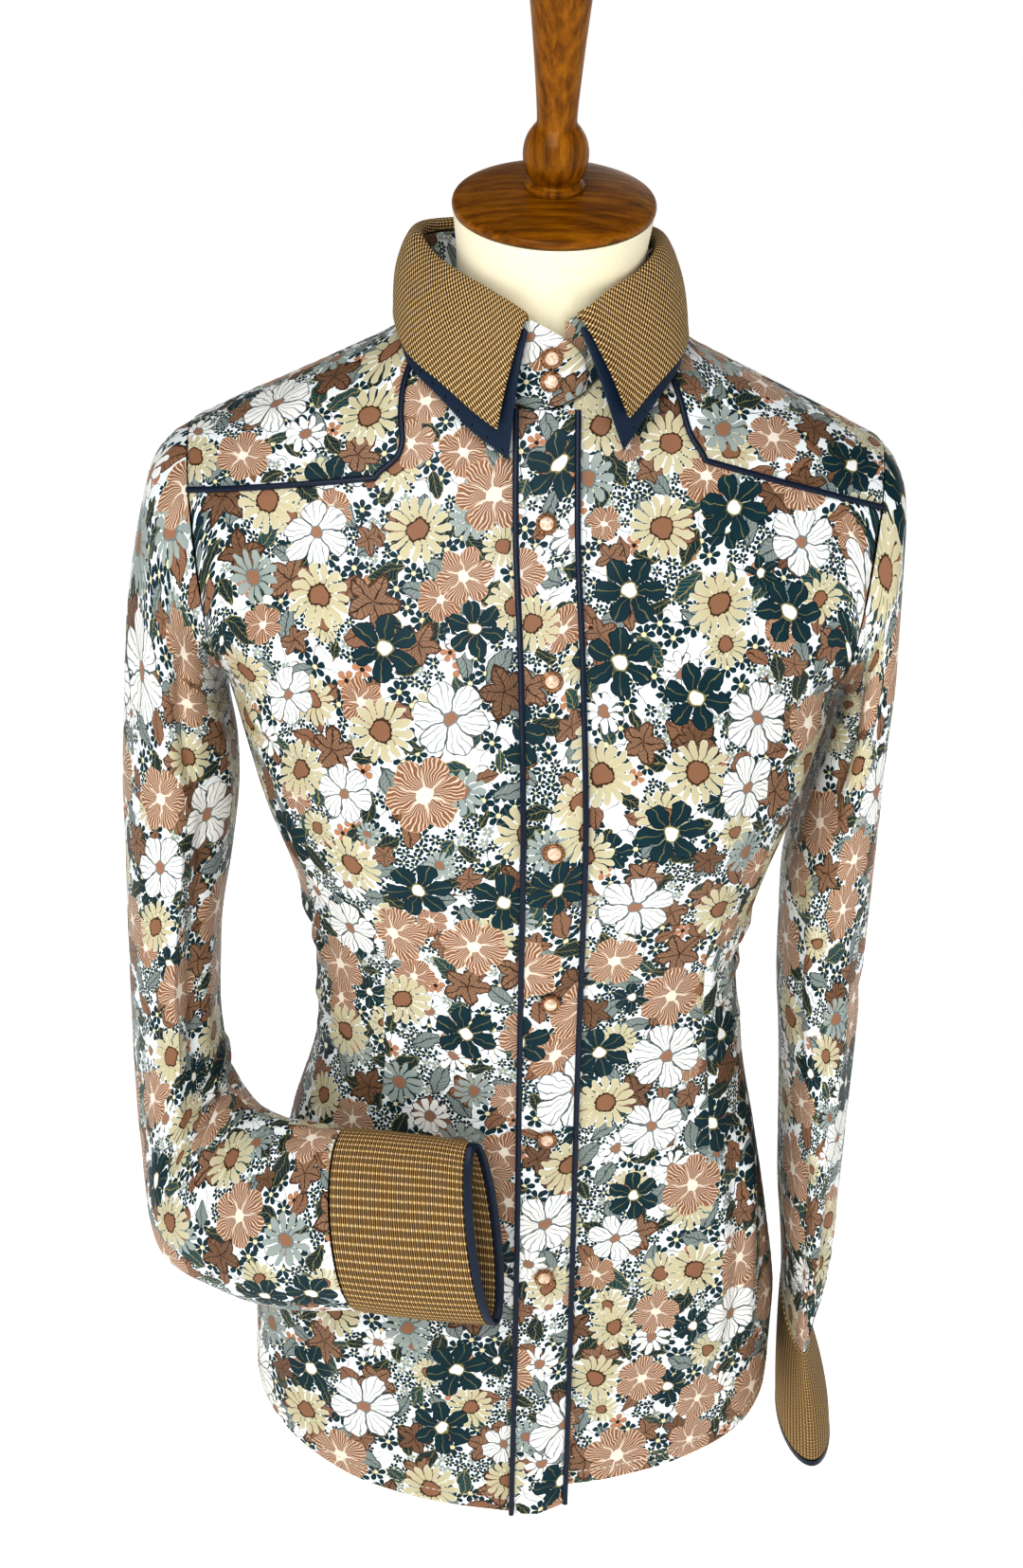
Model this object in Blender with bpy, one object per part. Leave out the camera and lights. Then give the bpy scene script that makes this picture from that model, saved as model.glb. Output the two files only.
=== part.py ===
"""A lady's western snap shirt worn on a limbless dress form.

Metres, +Z up, the wearer facing -Y, so the wearer's right is -X. The origin is the middle of the
form's flat underside. Every piece of cloth is a thin wall. The body pieces are patches of one
surface, which is read from level sections, and sleeves and cuffs are rings set along their length.
"""
import math
from collections import namedtuple

import bmesh
import bpy
import numpy as np

# ---------------------------------------------------------------- driving sizes
CLOTH = 0.0012            # wall of the printed satin
CUFF_WALL = 0.0022        # check cloth backed with satin
COLLAR_WALL = 0.0014
SEAM = 0.0003             # clear gap between neighbouring pieces

PLACKET_WIDTH = 0.0345
PLACKET_LIFT = 0.0011     # inner face of the band above the fronts
PIPING_WIDTH = 0.0030
PIPING_HEIGHT = 0.0015
STAND_WALL = 0.0012

SNAP_RADIUS = 0.0057
SNAP_HEIGHT = 0.0022
PEARL_RADIUS = 0.0038
PEARL_HEIGHT = 0.0031
SNAP_SIDES = 16
PEARL_SIDES = 12

RING_STEPS = 20           # points round a sleeve
HEM_TO_UNDERARM = 14      # rows of a body patch below the armhole
NECK_COLUMNS = 4          # columns of a front along the neckline
YOKE_RISE_COLUMNS = 2
YOKE_LEVEL_COLUMNS = 5
YOKE_RING_STEP = 7        # ring point where the yoke seam meets the armhole
BACK_NECK_COLUMNS = 6
RELAXING_ROUNDS = 60       # each evens out a patch's inner points once

# ---------------------------------------------------------------- the torso under the shirt
Section = namedtuple("Section", "z half_width front back centre_x centre_y square")
SHIRT = [
    Section(0.000, 0.151, 0.083, 0.106, -0.004, 0.000, 2.3),
    Section(0.060, 0.157, 0.081, 0.112, -0.005, 0.000, 2.3),
    Section(0.120, 0.157, 0.078, 0.116, -0.004, 0.000, 2.3),
    Section(0.180, 0.1485, 0.076, 0.107, -0.003, 0.000, 2.3),
    Section(0.240, 0.1365, 0.077, 0.090, -0.0025, 0.000, 2.25),
    Section(0.300, 0.123, 0.082, 0.075, 0.000, 0.000, 2.2),
    Section(0.345, 0.1205, 0.090, 0.071, -0.003, 0.000, 2.2),
    Section(0.400, 0.131, 0.101, 0.077, -0.003, 0.000, 2.2),
    Section(0.450, 0.148, 0.109, 0.088, -0.004, 0.000, 2.2),
    Section(0.500, 0.1635, 0.103, 0.096, -0.004, 0.002, 2.2),
    Section(0.515, 0.168, 0.100, 0.097, -0.005, 0.004, 2.2),
    Section(0.550, 0.198, 0.093, 0.098, -0.006, 0.008, 2.25),
    Section(0.590, 0.211, 0.082, 0.094, -0.0065, 0.012, 2.3),
    Section(0.620, 0.207, 0.074, 0.086, -0.0065, 0.015, 2.3),
    Section(0.640, 0.193, 0.067, 0.078, -0.0065, 0.017, 2.2),
    Section(0.655, 0.167, 0.062, 0.072, -0.0065, 0.018, 2.1),
    Section(0.670, 0.135, 0.057, 0.066, -0.006, 0.019, 2.05),
    Section(0.685, 0.103, 0.052, 0.061, -0.006, 0.019, 2.0),
    Section(0.698, 0.077, 0.048, 0.057, -0.006, 0.020, 2.0),
    Section(0.712, 0.060, 0.044, 0.053, -0.006, 0.020, 2.0),
    Section(0.730, 0.052, 0.042, 0.050, -0.006, 0.020, 2.0),
]

# where the front's middle line lies, across the form, at each height: the shirt is worn a little turned
MiddleLine = namedtuple("MiddleLine", "z x")
MIDDLE = [
    MiddleLine(0.00, 0.0130), MiddleLine(0.17, 0.0120), MiddleLine(0.33, 0.0100), MiddleLine(0.45, 0.0088),
    MiddleLine(0.54, 0.0052), MiddleLine(0.61, 0.0005), MiddleLine(0.67, -0.0010),
]

# soft mounds and folds: middle across and up, half sizes, lean from upright in degrees, and height
Relief = namedtuple("Relief", "x z across along lean height")
FRONT_RELIEF = [
    Relief(-0.082, 0.470, 0.050, 0.058, 0, 0.0085),     # bust cups
    Relief(0.082, 0.470, 0.047, 0.058, 0, 0.0085),
    Relief(-0.105, 0.140, 0.013, 0.090, 6, 0.0030),     # upright folds of the skirt below the waist
    Relief(0.096, 0.150, 0.013, 0.090, -5, 0.0035),
    Relief(0.126, 0.200, 0.010, 0.060, -8, 0.0030),
    Relief(-0.050, 0.120, 0.015, 0.070, 3, 0.0020),
    Relief(0.050, 0.110, 0.016, 0.070, -3, 0.0020),
]
BACK_RELIEF = [
    Relief(-0.075, 0.560, 0.050, 0.060, 0, 0.0050),     # shoulder blades
    Relief(0.065, 0.560, 0.050, 0.060, 0, 0.0050),
    Relief(-0.090, 0.150, 0.015, 0.090, 5, 0.0035),     # skirt folds
    Relief(0.085, 0.150, 0.015, 0.090, -5, 0.0035),
    Relief(-0.030, 0.160, 0.014, 0.080, 2, 0.0030),
    Relief(0.028, 0.150, 0.014, 0.080, -2, 0.0030),
]

# shirt-tail hem: height at each share of the way from the middle line to the side seam
Hem = namedtuple("Hem", "z share right left")
HEM = [
    Hem(0.00, 0, 0.018, 0.034), Hem(0.28, 0, 0.0235, 0.0395), Hem(0.52, 0, 0.033, 0.047),
    Hem(0.75, 0, 0.050, 0.056), Hem(0.90, 0, 0.067, 0.068), Hem(1.00, 0, 0.083, 0.083),
]

# neckline, an ellipse seen from above; the body surface gives its height
NECK_X, NECK_Y = -0.006, 0.019
NECK_HALF_WIDTH, NECK_FRONT, NECK_BACK = 0.0635, 0.058, 0.053
YOKE_NECK_ANGLE = math.radians(62)

# armhole: an upright plane, low end under the arm and high end at the shoulder tip
ARMHOLE_CENTRE_X = -0.0055
ARM_LOW_X, ARM_LOW_Z = 0.1675, 0.515
ARM_HIGH_X, ARM_HIGH_Z = 0.1855, 0.645

# yoke seam from the neckline down to its corner and out to the armhole, seen from the front
YokePoint = namedtuple("YokePoint", "right_x right_z left_x left_z")
YOKE_CORNER = YokePoint(-0.088, 0.6320, 0.081, 0.6440)
YOKE_RISE = YokePoint(-0.0745, 0.6520, 0.0700, 0.6640)

SNAP_LEVELS = (0.613, 0.538, 0.453, 0.360, 0.269, 0.178)

# ---------------------------------------------------------------- sleeves and cuffs
# each ring: its point nearest the body and its far point, both seen from the front, then the
# middle's depth, half the front-to-back size and the turn of that direction about upright
Ring = namedtuple("Ring", "in_x in_z out_x out_z mid_y half_depth turn")
SLEEVE_LEFT = [
    Ring(0.1650, 0.510, 0.1915, 0.626, 0.012, 0.056, 0),
    Ring(0.1660, 0.504, 0.1940, 0.580, 0.011, 0.058, 0),
    Ring(0.1645, 0.496, 0.1940, 0.535, 0.010, 0.059, 0),
    Ring(0.1605, 0.480, 0.1925, 0.490, 0.009, 0.059, 0),
    Ring(0.1525, 0.450, 0.1915, 0.450, 0.008, 0.059, 0),
    Ring(0.1425, 0.400, 0.1910, 0.400, 0.006, 0.058, 0),
    Ring(0.1425, 0.350, 0.1905, 0.350, 0.004, 0.057, 0),
    Ring(0.1465, 0.300, 0.1895, 0.300, 0.003, 0.056, 0),
    Ring(0.1500, 0.250, 0.1880, 0.250, 0.002, 0.055, 0),
    Ring(0.1525, 0.200, 0.1865, 0.200, 0.001, 0.054, 0),
    Ring(0.1570, 0.160, 0.1840, 0.160, 0.000, 0.052, 0),
    Ring(0.1600, 0.130, 0.1780, 0.130, 0.000, 0.051, 0),
    Ring(0.1615, 0.112, 0.1745, 0.112, 0.000, 0.050, 0),
]
CUFF_LEFT = [
    Ring(0.1607, 0.1115, 0.1757, 0.1115, 0.000, 0.0507, 0),
    Ring(0.1600, 0.088, 0.1830, 0.088, 0.000, 0.0507, 0),
    Ring(0.1605, 0.062, 0.1905, 0.062, 0.000, 0.0507, 0),
    Ring(0.1620, 0.036, 0.1940, 0.036, 0.000, 0.0507, 0),
]
SLEEVE_RIGHT = [
    Ring(-0.1755, 0.510, -0.2090, 0.630, 0.012, 0.056, 0),
    Ring(-0.1760, 0.504, -0.2200, 0.590, 0.011, 0.058, 0),
    Ring(-0.1745, 0.496, -0.2255, 0.540, 0.010, 0.059, 0),
    Ring(-0.1715, 0.480, -0.2285, 0.490, 0.009, 0.059, 0),
    Ring(-0.1680, 0.450, -0.2305, 0.450, 0.008, 0.058, 0),
    Ring(-0.1730, 0.400, -0.2315, 0.400, 0.005, 0.057, 0),
    Ring(-0.1800, 0.350, -0.2310, 0.350, 0.001, 0.055, 0),
    Ring(-0.1805, 0.310, -0.2300, 0.300, -0.004, 0.053, 0),
    Ring(-0.1780, 0.284, -0.2275, 0.255, -0.011, 0.050, 2),
    Ring(-0.1740, 0.272, -0.2220, 0.217, -0.021, 0.046, 8),
    Ring(-0.1690, 0.268, -0.2140, 0.188, -0.033, 0.041, 16),
    Ring(-0.1620, 0.268, -0.1990, 0.168, -0.047, 0.036, 25),
    Ring(-0.1520, 0.270, -0.1790, 0.158, -0.060, 0.031, 32),
    Ring(-0.1390, 0.273, -0.1550, 0.155, -0.073, 0.027, 35),
    Ring(-0.1210, 0.276, -0.1270, 0.158, -0.086, 0.0235, 34),
    Ring(-0.1020, 0.280, -0.0920, 0.166, -0.096, 0.0205, 31),
]
CUFF_RIGHT = [
    Ring(-0.1012, 0.2808, -0.0912, 0.1656, -0.0964, 0.0206, 31),
    Ring(-0.0770, 0.2825, -0.0660, 0.1652, -0.1015, 0.0190, 29),
    Ring(-0.0530, 0.2825, -0.0400, 0.1655, -0.1055, 0.0170, 28),
    Ring(-0.0320, 0.2810, -0.0175, 0.1665, -0.1090, 0.0150, 27),
]
BINDING_WIDTH = 0.0045

# soft folds of a sleeve: share of the way down it, degrees round from the body side by the front,
# their half sizes, and their height (below zero a hollow)
SleeveFold = namedtuple("SleeveFold", "share degrees half_share half_degrees height")
FOLDS_RIGHT = [
    SleeveFold(0.60, 25, 0.035, 40, -0.0040), SleeveFold(0.54, 40, 0.030, 40, 0.0030),
    SleeveFold(0.67, 45, 0.030, 40, 0.0030), SleeveFold(0.55, 130, 0.130, 20, -0.0035),
    SleeveFold(0.35, 105, 0.090, 24, 0.0030), SleeveFold(0.72, 160, 0.050, 30, 0.0030),
    SleeveFold(0.84, 95, 0.050, 30, -0.0025), SleeveFold(0.30, 290, 0.110, 28, 0.0030),
]
FOLDS_LEFT = [
    SleeveFold(0.50, 110, 0.120, 24, -0.0035), SleeveFold(0.36, 140, 0.100, 24, 0.0025),
    SleeveFold(0.72, 70, 0.100, 26, 0.0025), SleeveFold(0.82, 120, 0.070, 26, -0.0025),
    SleeveFold(0.55, 250, 0.120, 26, -0.0035), SleeveFold(0.40, 300, 0.100, 28, 0.0025),
]

# ---------------------------------------------------------------- collar and stand
# stations from the wearer's right front end round the back to the left front end: the fold at the
# top and the collar's free edge below it, how far the navy undercollar shows beyond that edge, and
# how much of the roll over the stand there is
Station = namedtuple("Station", "fold_x fold_y fold_z edge_x edge_y edge_z under lip")
COLLAR = [
    Station(-0.0125, -0.0535, 0.7165, -0.0250, -0.0585, 0.6610, 0.0125, 0.60),
    Station(-0.0220, -0.0500, 0.7218, -0.0385, -0.0545, 0.6690, 0.0110, 0.60),
    Station(-0.0345, -0.0425, 0.7275, -0.0545, -0.0455, 0.6805, 0.0085, 0.65),
    Station(-0.0500, -0.0290, 0.7335, -0.0715, -0.0300, 0.6915, 0.0065, 0.80),
    Station(-0.0640, -0.0100, 0.7400, -0.0790, -0.0110, 0.7025, 0.0055, 1.00),
    Station(-0.0730, 0.0120, 0.7480, -0.0815, 0.0110, 0.7095, 0.0045, 1.00),
    Station(-0.0720, 0.0380, 0.7500, -0.0790, 0.0400, 0.7120, 0.0040, 1.00),
    Station(-0.0580, 0.0600, 0.7500, -0.0640, 0.0680, 0.7095, 0.0045, 1.00),
    Station(-0.0340, 0.0720, 0.7500, -0.0380, 0.0840, 0.7060, 0.0055, 1.00),
    Station(-0.0080, 0.0755, 0.7500, -0.0080, 0.0890, 0.7050, 0.0060, 1.00),
    Station(0.0180, 0.0720, 0.7500, 0.0225, 0.0840, 0.7060, 0.0055, 1.00),
    Station(0.0420, 0.0600, 0.7500, 0.0485, 0.0680, 0.7095, 0.0045, 1.00),
    Station(0.0565, 0.0380, 0.7500, 0.0635, 0.0400, 0.7110, 0.0040, 1.00),
    Station(0.0590, 0.0120, 0.7480, 0.0690, 0.0110, 0.7095, 0.0045, 1.00),
    Station(0.0550, -0.0115, 0.7425, 0.0705, -0.0110, 0.7010, 0.0055, 1.00),
    Station(0.0440, -0.0295, 0.7350, 0.0655, -0.0310, 0.6935, 0.0065, 0.80),
    Station(0.0300, -0.0430, 0.7280, 0.0535, -0.0465, 0.6820, 0.0085, 0.65),
    Station(0.0205, -0.0505, 0.7215, 0.0430, -0.0550, 0.6710, 0.0110, 0.60),
    Station(0.0135, -0.0535, 0.7175, 0.0385, -0.0580, 0.6680, 0.0125, 0.60),
]
COLLAR_BULGE = 0.0035          # how far the fall stands out of a straight line, fold to edge
COLLAR_ROLL = 0.0056           # width of the roll at the fold
UNDER_GAP = 0.0010             # between the collar and the undercollar
UNDER_START, UNDER_START_FRONT = 0.36, 0.12    # shares of the fall where the undercollar starts

STAND_INSET, STAND_INSET_FRONT = 0.0036, 0.0062    # from the fold in to the stand's face
STAND_DROP, STAND_DROP_FRONT = 0.0060, 0.0040      # from the fold down to the stand's top
STAND_OVERLAP_X = 0.0175       # the upper end runs this far past the opening's middle
STAND_COLUMNS = 24
STAND_BOW = 0.0010
STAND_FRONT_RADIUS = 0.0662     # of its top at the front, from the neckline's middle
STAND_LAP = 0.0034             # the upper end stands this far in front of the under end
STAND_SNAPS = (0.6955, 0.6835)
# rounding of the upper end: turn from it in radians, and share of the full height there
EndRow = namedtuple("EndRow", "turn height")
STAND_END = [
    EndRow(0.0, 0.22), EndRow(0.030, 0.50), EndRow(0.105, 0.70), EndRow(0.225, 0.86), EndRow(0.390, 1.0),
]
STAND_SNAP_TURN = 0.285

# ---------------------------------------------------------------- dress form
FormRing = namedtuple("FormRing", "z half_width front back centre_x centre_y square lean")
FORM = [
    FormRing(0.000, 0.072, 0.031, 0.060, 0.000, 0.000, 2.1, 0),
    FormRing(0.008, 0.084, 0.041, 0.069, 0.000, 0.000, 2.1, 0),
    FormRing(0.020, 0.098, 0.051, 0.079, -0.001, 0.000, 2.2, 0),
    FormRing(0.042, 0.118, 0.0625, 0.092, -0.003, 0.000, 2.3, 0),
    FormRing(0.080, 0.139, 0.0685, 0.103, -0.004, 0.000, 2.3, 0),
    FormRing(0.130, 0.1455, 0.0680, 0.105, -0.004, 0.000, 2.3, 0),
    FormRing(0.185, 0.139, 0.0665, 0.096, -0.003, 0.000, 2.3, 0),
    FormRing(0.240, 0.127, 0.0680, 0.080, -0.0025, 0.000, 2.25, 0),
    FormRing(0.300, 0.1145, 0.0735, 0.066, 0.000, 0.000, 2.2, 0),
    FormRing(0.345, 0.1115, 0.0810, 0.0625, -0.003, 0.000, 2.2, 0),
    FormRing(0.400, 0.1215, 0.0920, 0.068, -0.003, 0.000, 2.2, 0),
    FormRing(0.450, 0.1370, 0.1000, 0.078, -0.004, 0.000, 2.2, 0),
    FormRing(0.500, 0.1490, 0.0940, 0.086, -0.004, 0.002, 2.3, 0),
    FormRing(0.550, 0.1540, 0.0830, 0.087, -0.006, 0.008, 2.6, 0),
    FormRing(0.590, 0.1600, 0.0710, 0.083, -0.0065, 0.012, 2.8, 0),
    FormRing(0.618, 0.1620, 0.0620, 0.074, -0.0065, 0.015, 2.6, 0),
    FormRing(0.636, 0.1500, 0.0550, 0.066, -0.0065, 0.017, 2.3, 0),
    FormRing(0.652, 0.1240, 0.0500, 0.059, -0.0060, 0.018, 2.1, 0),
    FormRing(0.668, 0.0900, 0.0475, 0.054, -0.0045, 0.018, 2.0, 2),
    FormRing(0.684, 0.0620, 0.0470, 0.050, -0.0030, 0.015, 2.0, 5),
    FormRing(0.702, 0.0495, 0.0475, 0.050, -0.0015, 0.010, 2.0, 9),
    FormRing(0.732, 0.0485, 0.0475, 0.0500, -0.0010, 0.003, 2.0, 14),
    FormRing(0.7640, 0.0515, 0.0515, 0.0515, 0.0000, -0.005, 2.0, 17.6),
]
FORM_SIDES = 26
NECK_LEAN = math.radians(17.6)
CAP_SIDES = 30
FINIAL_SIDES = 16

Turned = namedtuple("Turned", "radius height")
CAP_PROFILE = [
    Turned(0.0480, 0.0000), Turned(0.0515, 0.0006), Turned(0.0522, 0.0020), Turned(0.0518, 0.0040),
    Turned(0.0500, 0.0052), Turned(0.0420, 0.0078), Turned(0.0300, 0.0098), Turned(0.0190, 0.0106),
]
FINIAL_PROFILE = [
    Turned(0.0150, 0.0000), Turned(0.0152, 0.0022), Turned(0.0134, 0.0034), Turned(0.0128, 0.0046),
    Turned(0.0148, 0.0080), Turned(0.0162, 0.0125), Turned(0.0167, 0.0175), Turned(0.0162, 0.0225),
    Turned(0.0147, 0.0270), Turned(0.0122, 0.0310), Turned(0.0104, 0.0335), Turned(0.0101, 0.0370),
    Turned(0.0108, 0.0480), Turned(0.0122, 0.0650), Turned(0.0139, 0.0830), Turned(0.0158, 0.1010),
    Turned(0.0172, 0.1150), Turned(0.0176, 0.1230), Turned(0.0168, 0.1290), Turned(0.0135, 0.1335),
    Turned(0.0070, 0.1355),
]

# name: (colour, roughness, metallic)
FINISHES = {
    "printed_satin": ((0.62, 0.48, 0.38), 0.45, 0.0),
    "navy_satin": ((0.016, 0.030, 0.062), 0.50, 0.0),
    "tan_check": ((0.28, 0.17, 0.08), 0.80, 0.0),
    "pearl": ((0.78, 0.62, 0.52), 0.15, 0.0),
    "copper_crown": ((0.55, 0.30, 0.20), 0.25, 1.0),
    "jersey": ((0.80, 0.75, 0.58), 0.85, 0.0),
    "turned_wood": ((0.19, 0.07, 0.015), 0.30, 0.0),
}


# ---------------------------------------------------------------- small tools
def smooth_column(table, name, key="z"):
    """Return a function that runs smoothly through one column of a table, read by its key column."""
    at_key = np.array([getattr(row, key) for row in table])
    value = np.array([getattr(row, name) for row in table])
    rise = np.diff(value) / np.diff(at_key)
    slope = np.empty_like(value)
    slope[0], slope[-1] = rise[0], rise[-1]
    before, after = rise[:-1], rise[1:]
    both = before * after
    slope[1:-1] = np.where(both > 0, 2 * both / np.where(both > 0, before + after, 1), 0)

    def read(query):
        query = np.clip(np.asarray(query, float), at_key[0], at_key[-1])
        i = np.clip(np.searchsorted(at_key, query) - 1, 0, len(at_key) - 2)
        step = at_key[i + 1] - at_key[i]
        t = (query - at_key[i]) / step
        start = value[i] * (1 + 2 * t) * (1 - t) ** 2 + step * slope[i] * t * (1 - t) ** 2
        end = value[i + 1] * t * t * (3 - 2 * t) - step * slope[i + 1] * t * t * (1 - t)
        return start + end
    return read


def unit(vectors):
    """Scale vectors to length one."""
    return vectors / np.linalg.norm(vectors, axis=-1, keepdims=True)


def finish(name):
    """Return the named material, made once."""
    found = bpy.data.materials.get(name)
    if found:
        return found
    colour, roughness, metallic = FINISHES[name]
    made = bpy.data.materials.new(name)
    made.use_nodes = True
    shader = made.node_tree.nodes["Principled BSDF"]
    shader.inputs["Base Color"].default_value = (*colour, 1)
    shader.inputs["Roughness"].default_value = roughness
    shader.inputs["Metallic"].default_value = metallic
    return made


def add_solid(name, points, faces, material):
    """Make one closed body from its points and faces, with its faces turned outwards."""
    shape = bmesh.new()
    corners = [shape.verts.new(point) for point in points]
    for face in faces:
        shape.faces.new([corners[i] for i in face])
    bmesh.ops.recalc_face_normals(shape, faces=shape.faces)
    mesh = bpy.data.meshes.new(name)
    shape.to_mesh(mesh)
    shape.free()
    mesh.materials.append(finish(material))
    mesh.shade_smooth()
    mesh.set_sharp_from_angle(angle=math.radians(40))
    piece = bpy.data.objects.new(name, mesh)
    bpy.context.collection.objects.link(piece)
    return piece


def add_wall(name, outer, inner, material, round_about=False):
    """Make a wall from the grids of its two faces; a round one closes on itself across its columns."""
    rows, columns = outer.shape[:2]
    points = np.concatenate([outer.reshape(-1, 3), inner.reshape(-1, 3)])
    back = rows * columns
    faces = []
    across = columns if round_about else columns - 1
    for row in range(rows - 1):
        for column in range(across):
            beside = (column + 1) % columns
            a, b = row * columns + column, row * columns + beside
            c, d = a + columns, b + columns
            faces.append((a, b, d, c))
            faces.append((back + a, back + c, back + d, back + b))
    for row in (0, rows - 1):
        for column in range(across):
            a, b = row * columns + column, row * columns + (column + 1) % columns
            faces.append((a, back + a, back + b, b))
    if not round_about:
        for column in (0, columns - 1):
            for row in range(rows - 1):
                a, c = row * columns + column, (row + 1) * columns + column
                faces.append((a, c, back + c, back + a))
    return add_solid(name, points, faces, material)


def add_sweep(name, rings, material):
    """Make a solid bar from closed rings of points, with its two ends filled."""
    rings = np.asarray(rings)
    count, sides = rings.shape[:2]
    faces = []
    for ring in range(count - 1):
        for side in range(sides):
            a, b = ring * sides + side, ring * sides + (side + 1) % sides
            faces.append((a, b, b + sides, a + sides))
    faces.append(tuple(range(sides)))
    faces.append(tuple((count - 1) * sides + side for side in range(sides)))
    return add_solid(name, rings.reshape(-1, 3), faces, material)


def pull_in(grid, gap=SEAM / 2):
    """Draw a grid's border in by the seam gap, along its own rows and columns."""
    moved = grid.copy()
    moved[0] += unit(grid[1] - grid[0]) * gap
    moved[-1] += unit(grid[-2] - grid[-1]) * gap
    moved[:, 0] += unit(moved[:, 1] - moved[:, 0]) * gap
    moved[:, -1] += unit(moved[:, -2] - moved[:, -1]) * gap
    return moved


def coons(bottom, right, top, left):
    """Fill a four-sided patch from its borders: rows run from bottom to top, columns left to right."""
    bottom, right, top, left = (np.asarray(border, float) for border in (bottom, right, top, left))
    u = np.linspace(0, 1, len(bottom))[None, :, None]
    v = np.linspace(0, 1, len(left))[:, None, None]
    ruled = (1 - v) * bottom[None] + v * top[None] + (1 - u) * left[:, None] + u * right[:, None]
    corners = ((1 - u) * (1 - v) * bottom[0] + u * (1 - v) * bottom[-1]
               + (1 - u) * v * top[0] + u * v * top[-1])
    return ruled - corners


def joined(*borders):
    """Join borders end to end, dropping each shared point."""
    parts = [np.asarray(border, float) for border in borders]
    return np.concatenate([parts[0]] + [part[1:] for part in parts[1:]])


def straight(start, end, steps):
    """Return points in equal steps along a straight line."""
    share = np.linspace(0, 1, steps + 1)[:, None]
    return np.asarray(start, float) * (1 - share) + np.asarray(end, float) * share


# ---------------------------------------------------------------- the body surface
# A place on it is a pair: the share of the way round from the middle (0) to the side (-1 on the
# wearer's right, +1 on the left) and the height. Front and back are two such charts.
SHAPE = {name: smooth_column(SHIRT, name) for name in Section._fields[1:]}
middle_x = smooth_column(MIDDLE, "x")
QUARTER = np.linspace(0, math.pi / 2, 49)
PROBE = 0.002


def quarter_outline(heights, back):
    """Return a quarter of each level section, from its middle to its side, and the length along it."""
    depth = SHAPE["back" if back else "front"](heights)[:, None]
    width, square = SHAPE["half_width"](heights)[:, None], SHAPE["square"](heights)[:, None]
    sine, cosine = np.sin(QUARTER)[None], np.cos(QUARTER)[None]
    reach = ((sine / width) ** square + (cosine / depth) ** square) ** (-1 / square)
    x, y = reach * sine, reach * cosine
    length = np.concatenate([np.zeros((len(heights), 1)),
                             np.cumsum(np.hypot(np.diff(x), np.diff(y)), axis=1)], axis=1)
    return x, y, length


def bare_surface(places, back):
    """Return the points of the plain surface at these places."""
    share, heights = places[:, 0], places[:, 1]
    x, y, length = quarter_outline(heights, back)
    out = np.empty((len(places), 3))
    for i, part in enumerate(np.clip(np.abs(share), 0, 1)):
        along = part * length[i, -1]
        out[i, 0] = np.interp(along, length[i], x[i])
        out[i, 1] = np.interp(along, length[i], y[i])
    out[:, 0] = np.sign(share) * out[:, 0] + SHAPE["centre_x"](heights)
    out[:, 1] = SHAPE["centre_y"](heights) + (out[:, 1] if back else -out[:, 1])
    out[:, 2] = heights
    return out


def surface_normals(places, back):
    """Return the outward normals of the plain surface."""
    aside, above = np.array([PROBE, 0]), np.array([0, PROBE])
    low, high = places.copy(), places.copy()
    low[:, 0] = np.maximum(places[:, 0] - aside[0], -1)
    high[:, 0] = np.minimum(places[:, 0] + aside[0], 1)
    across = bare_surface(high, back) - bare_surface(low, back)
    upwards = bare_surface(places + above, back) - bare_surface(places - above, back)
    normals = unit(np.cross(across, upwards))
    return -normals if back else normals


def relief(points, table):
    """Return how far mounds and folds raise the surface at these points."""
    height = np.zeros(len(points))
    for row in table:
        lean = math.radians(row.lean)
        dx, dz = points[:, 0] - row.x, points[:, 2] - row.z
        across = (dx * math.cos(lean) + dz * math.sin(lean)) / row.across
        along = (dz * math.cos(lean) - dx * math.sin(lean)) / row.along
        height += row.height * np.exp(-across ** 2 - along ** 2)
    return height


def body_grid(places, lift, back=False):
    """Return the surface's points at a grid of places, moved out by the lift."""
    flat = np.asarray(places, float).reshape(-1, 2)
    points, normals = bare_surface(flat, back), surface_normals(flat, back)
    raised = relief(points, BACK_RELIEF if back else FRONT_RELIEF)
    side_fade = np.clip((1 - np.abs(flat[:, 0])) / 0.15, 0, 1)
    moved = points + normals * (raised * side_fade + lift)[:, None]
    return moved.reshape(*np.shape(places)[:-1], 3)


def share_at(x, height, back=False):
    """Return the share whose surface point lies at this x on a level."""
    outline_x, _, length = quarter_outline(np.array([height]), back)
    offset = x - SHAPE["centre_x"](height)
    return math.copysign(np.interp(abs(offset), outline_x[0], length[0]) / length[0, -1], offset)


def unrolled(places, back):
    """Return places with the length round from the middle in place of the share."""
    length = quarter_outline(places[..., 1].ravel(), back)[2][:, -1].reshape(places.shape[:-1])
    return np.stack([places[..., 0] * length, places[..., 1]], axis=-1)


def rolled(lengths, back):
    """Return places from lengths round from the middle."""
    quarter = quarter_outline(lengths[..., 1].ravel(), back)[2][:, -1].reshape(lengths.shape[:-1])
    return np.stack([np.clip(lengths[..., 0] / quarter, -1, 1), lengths[..., 1]], axis=-1)


def height_at(x, y):
    """Return the height at which the upper body's surface passes over a point seen from above."""
    low, high = 0.60, 0.73
    for _ in range(40):
        z = (low + high) / 2
        depth = SHAPE["back" if y > SHAPE["centre_y"](z) else "front"](z)
        square = SHAPE["square"](z)
        inside = (abs((x - SHAPE["centre_x"](z)) / SHAPE["half_width"](z)) ** square
                  + abs((y - SHAPE["centre_y"](z)) / depth) ** square) < 1
        low, high = (z, high) if inside else (low, z)
    return low


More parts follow.
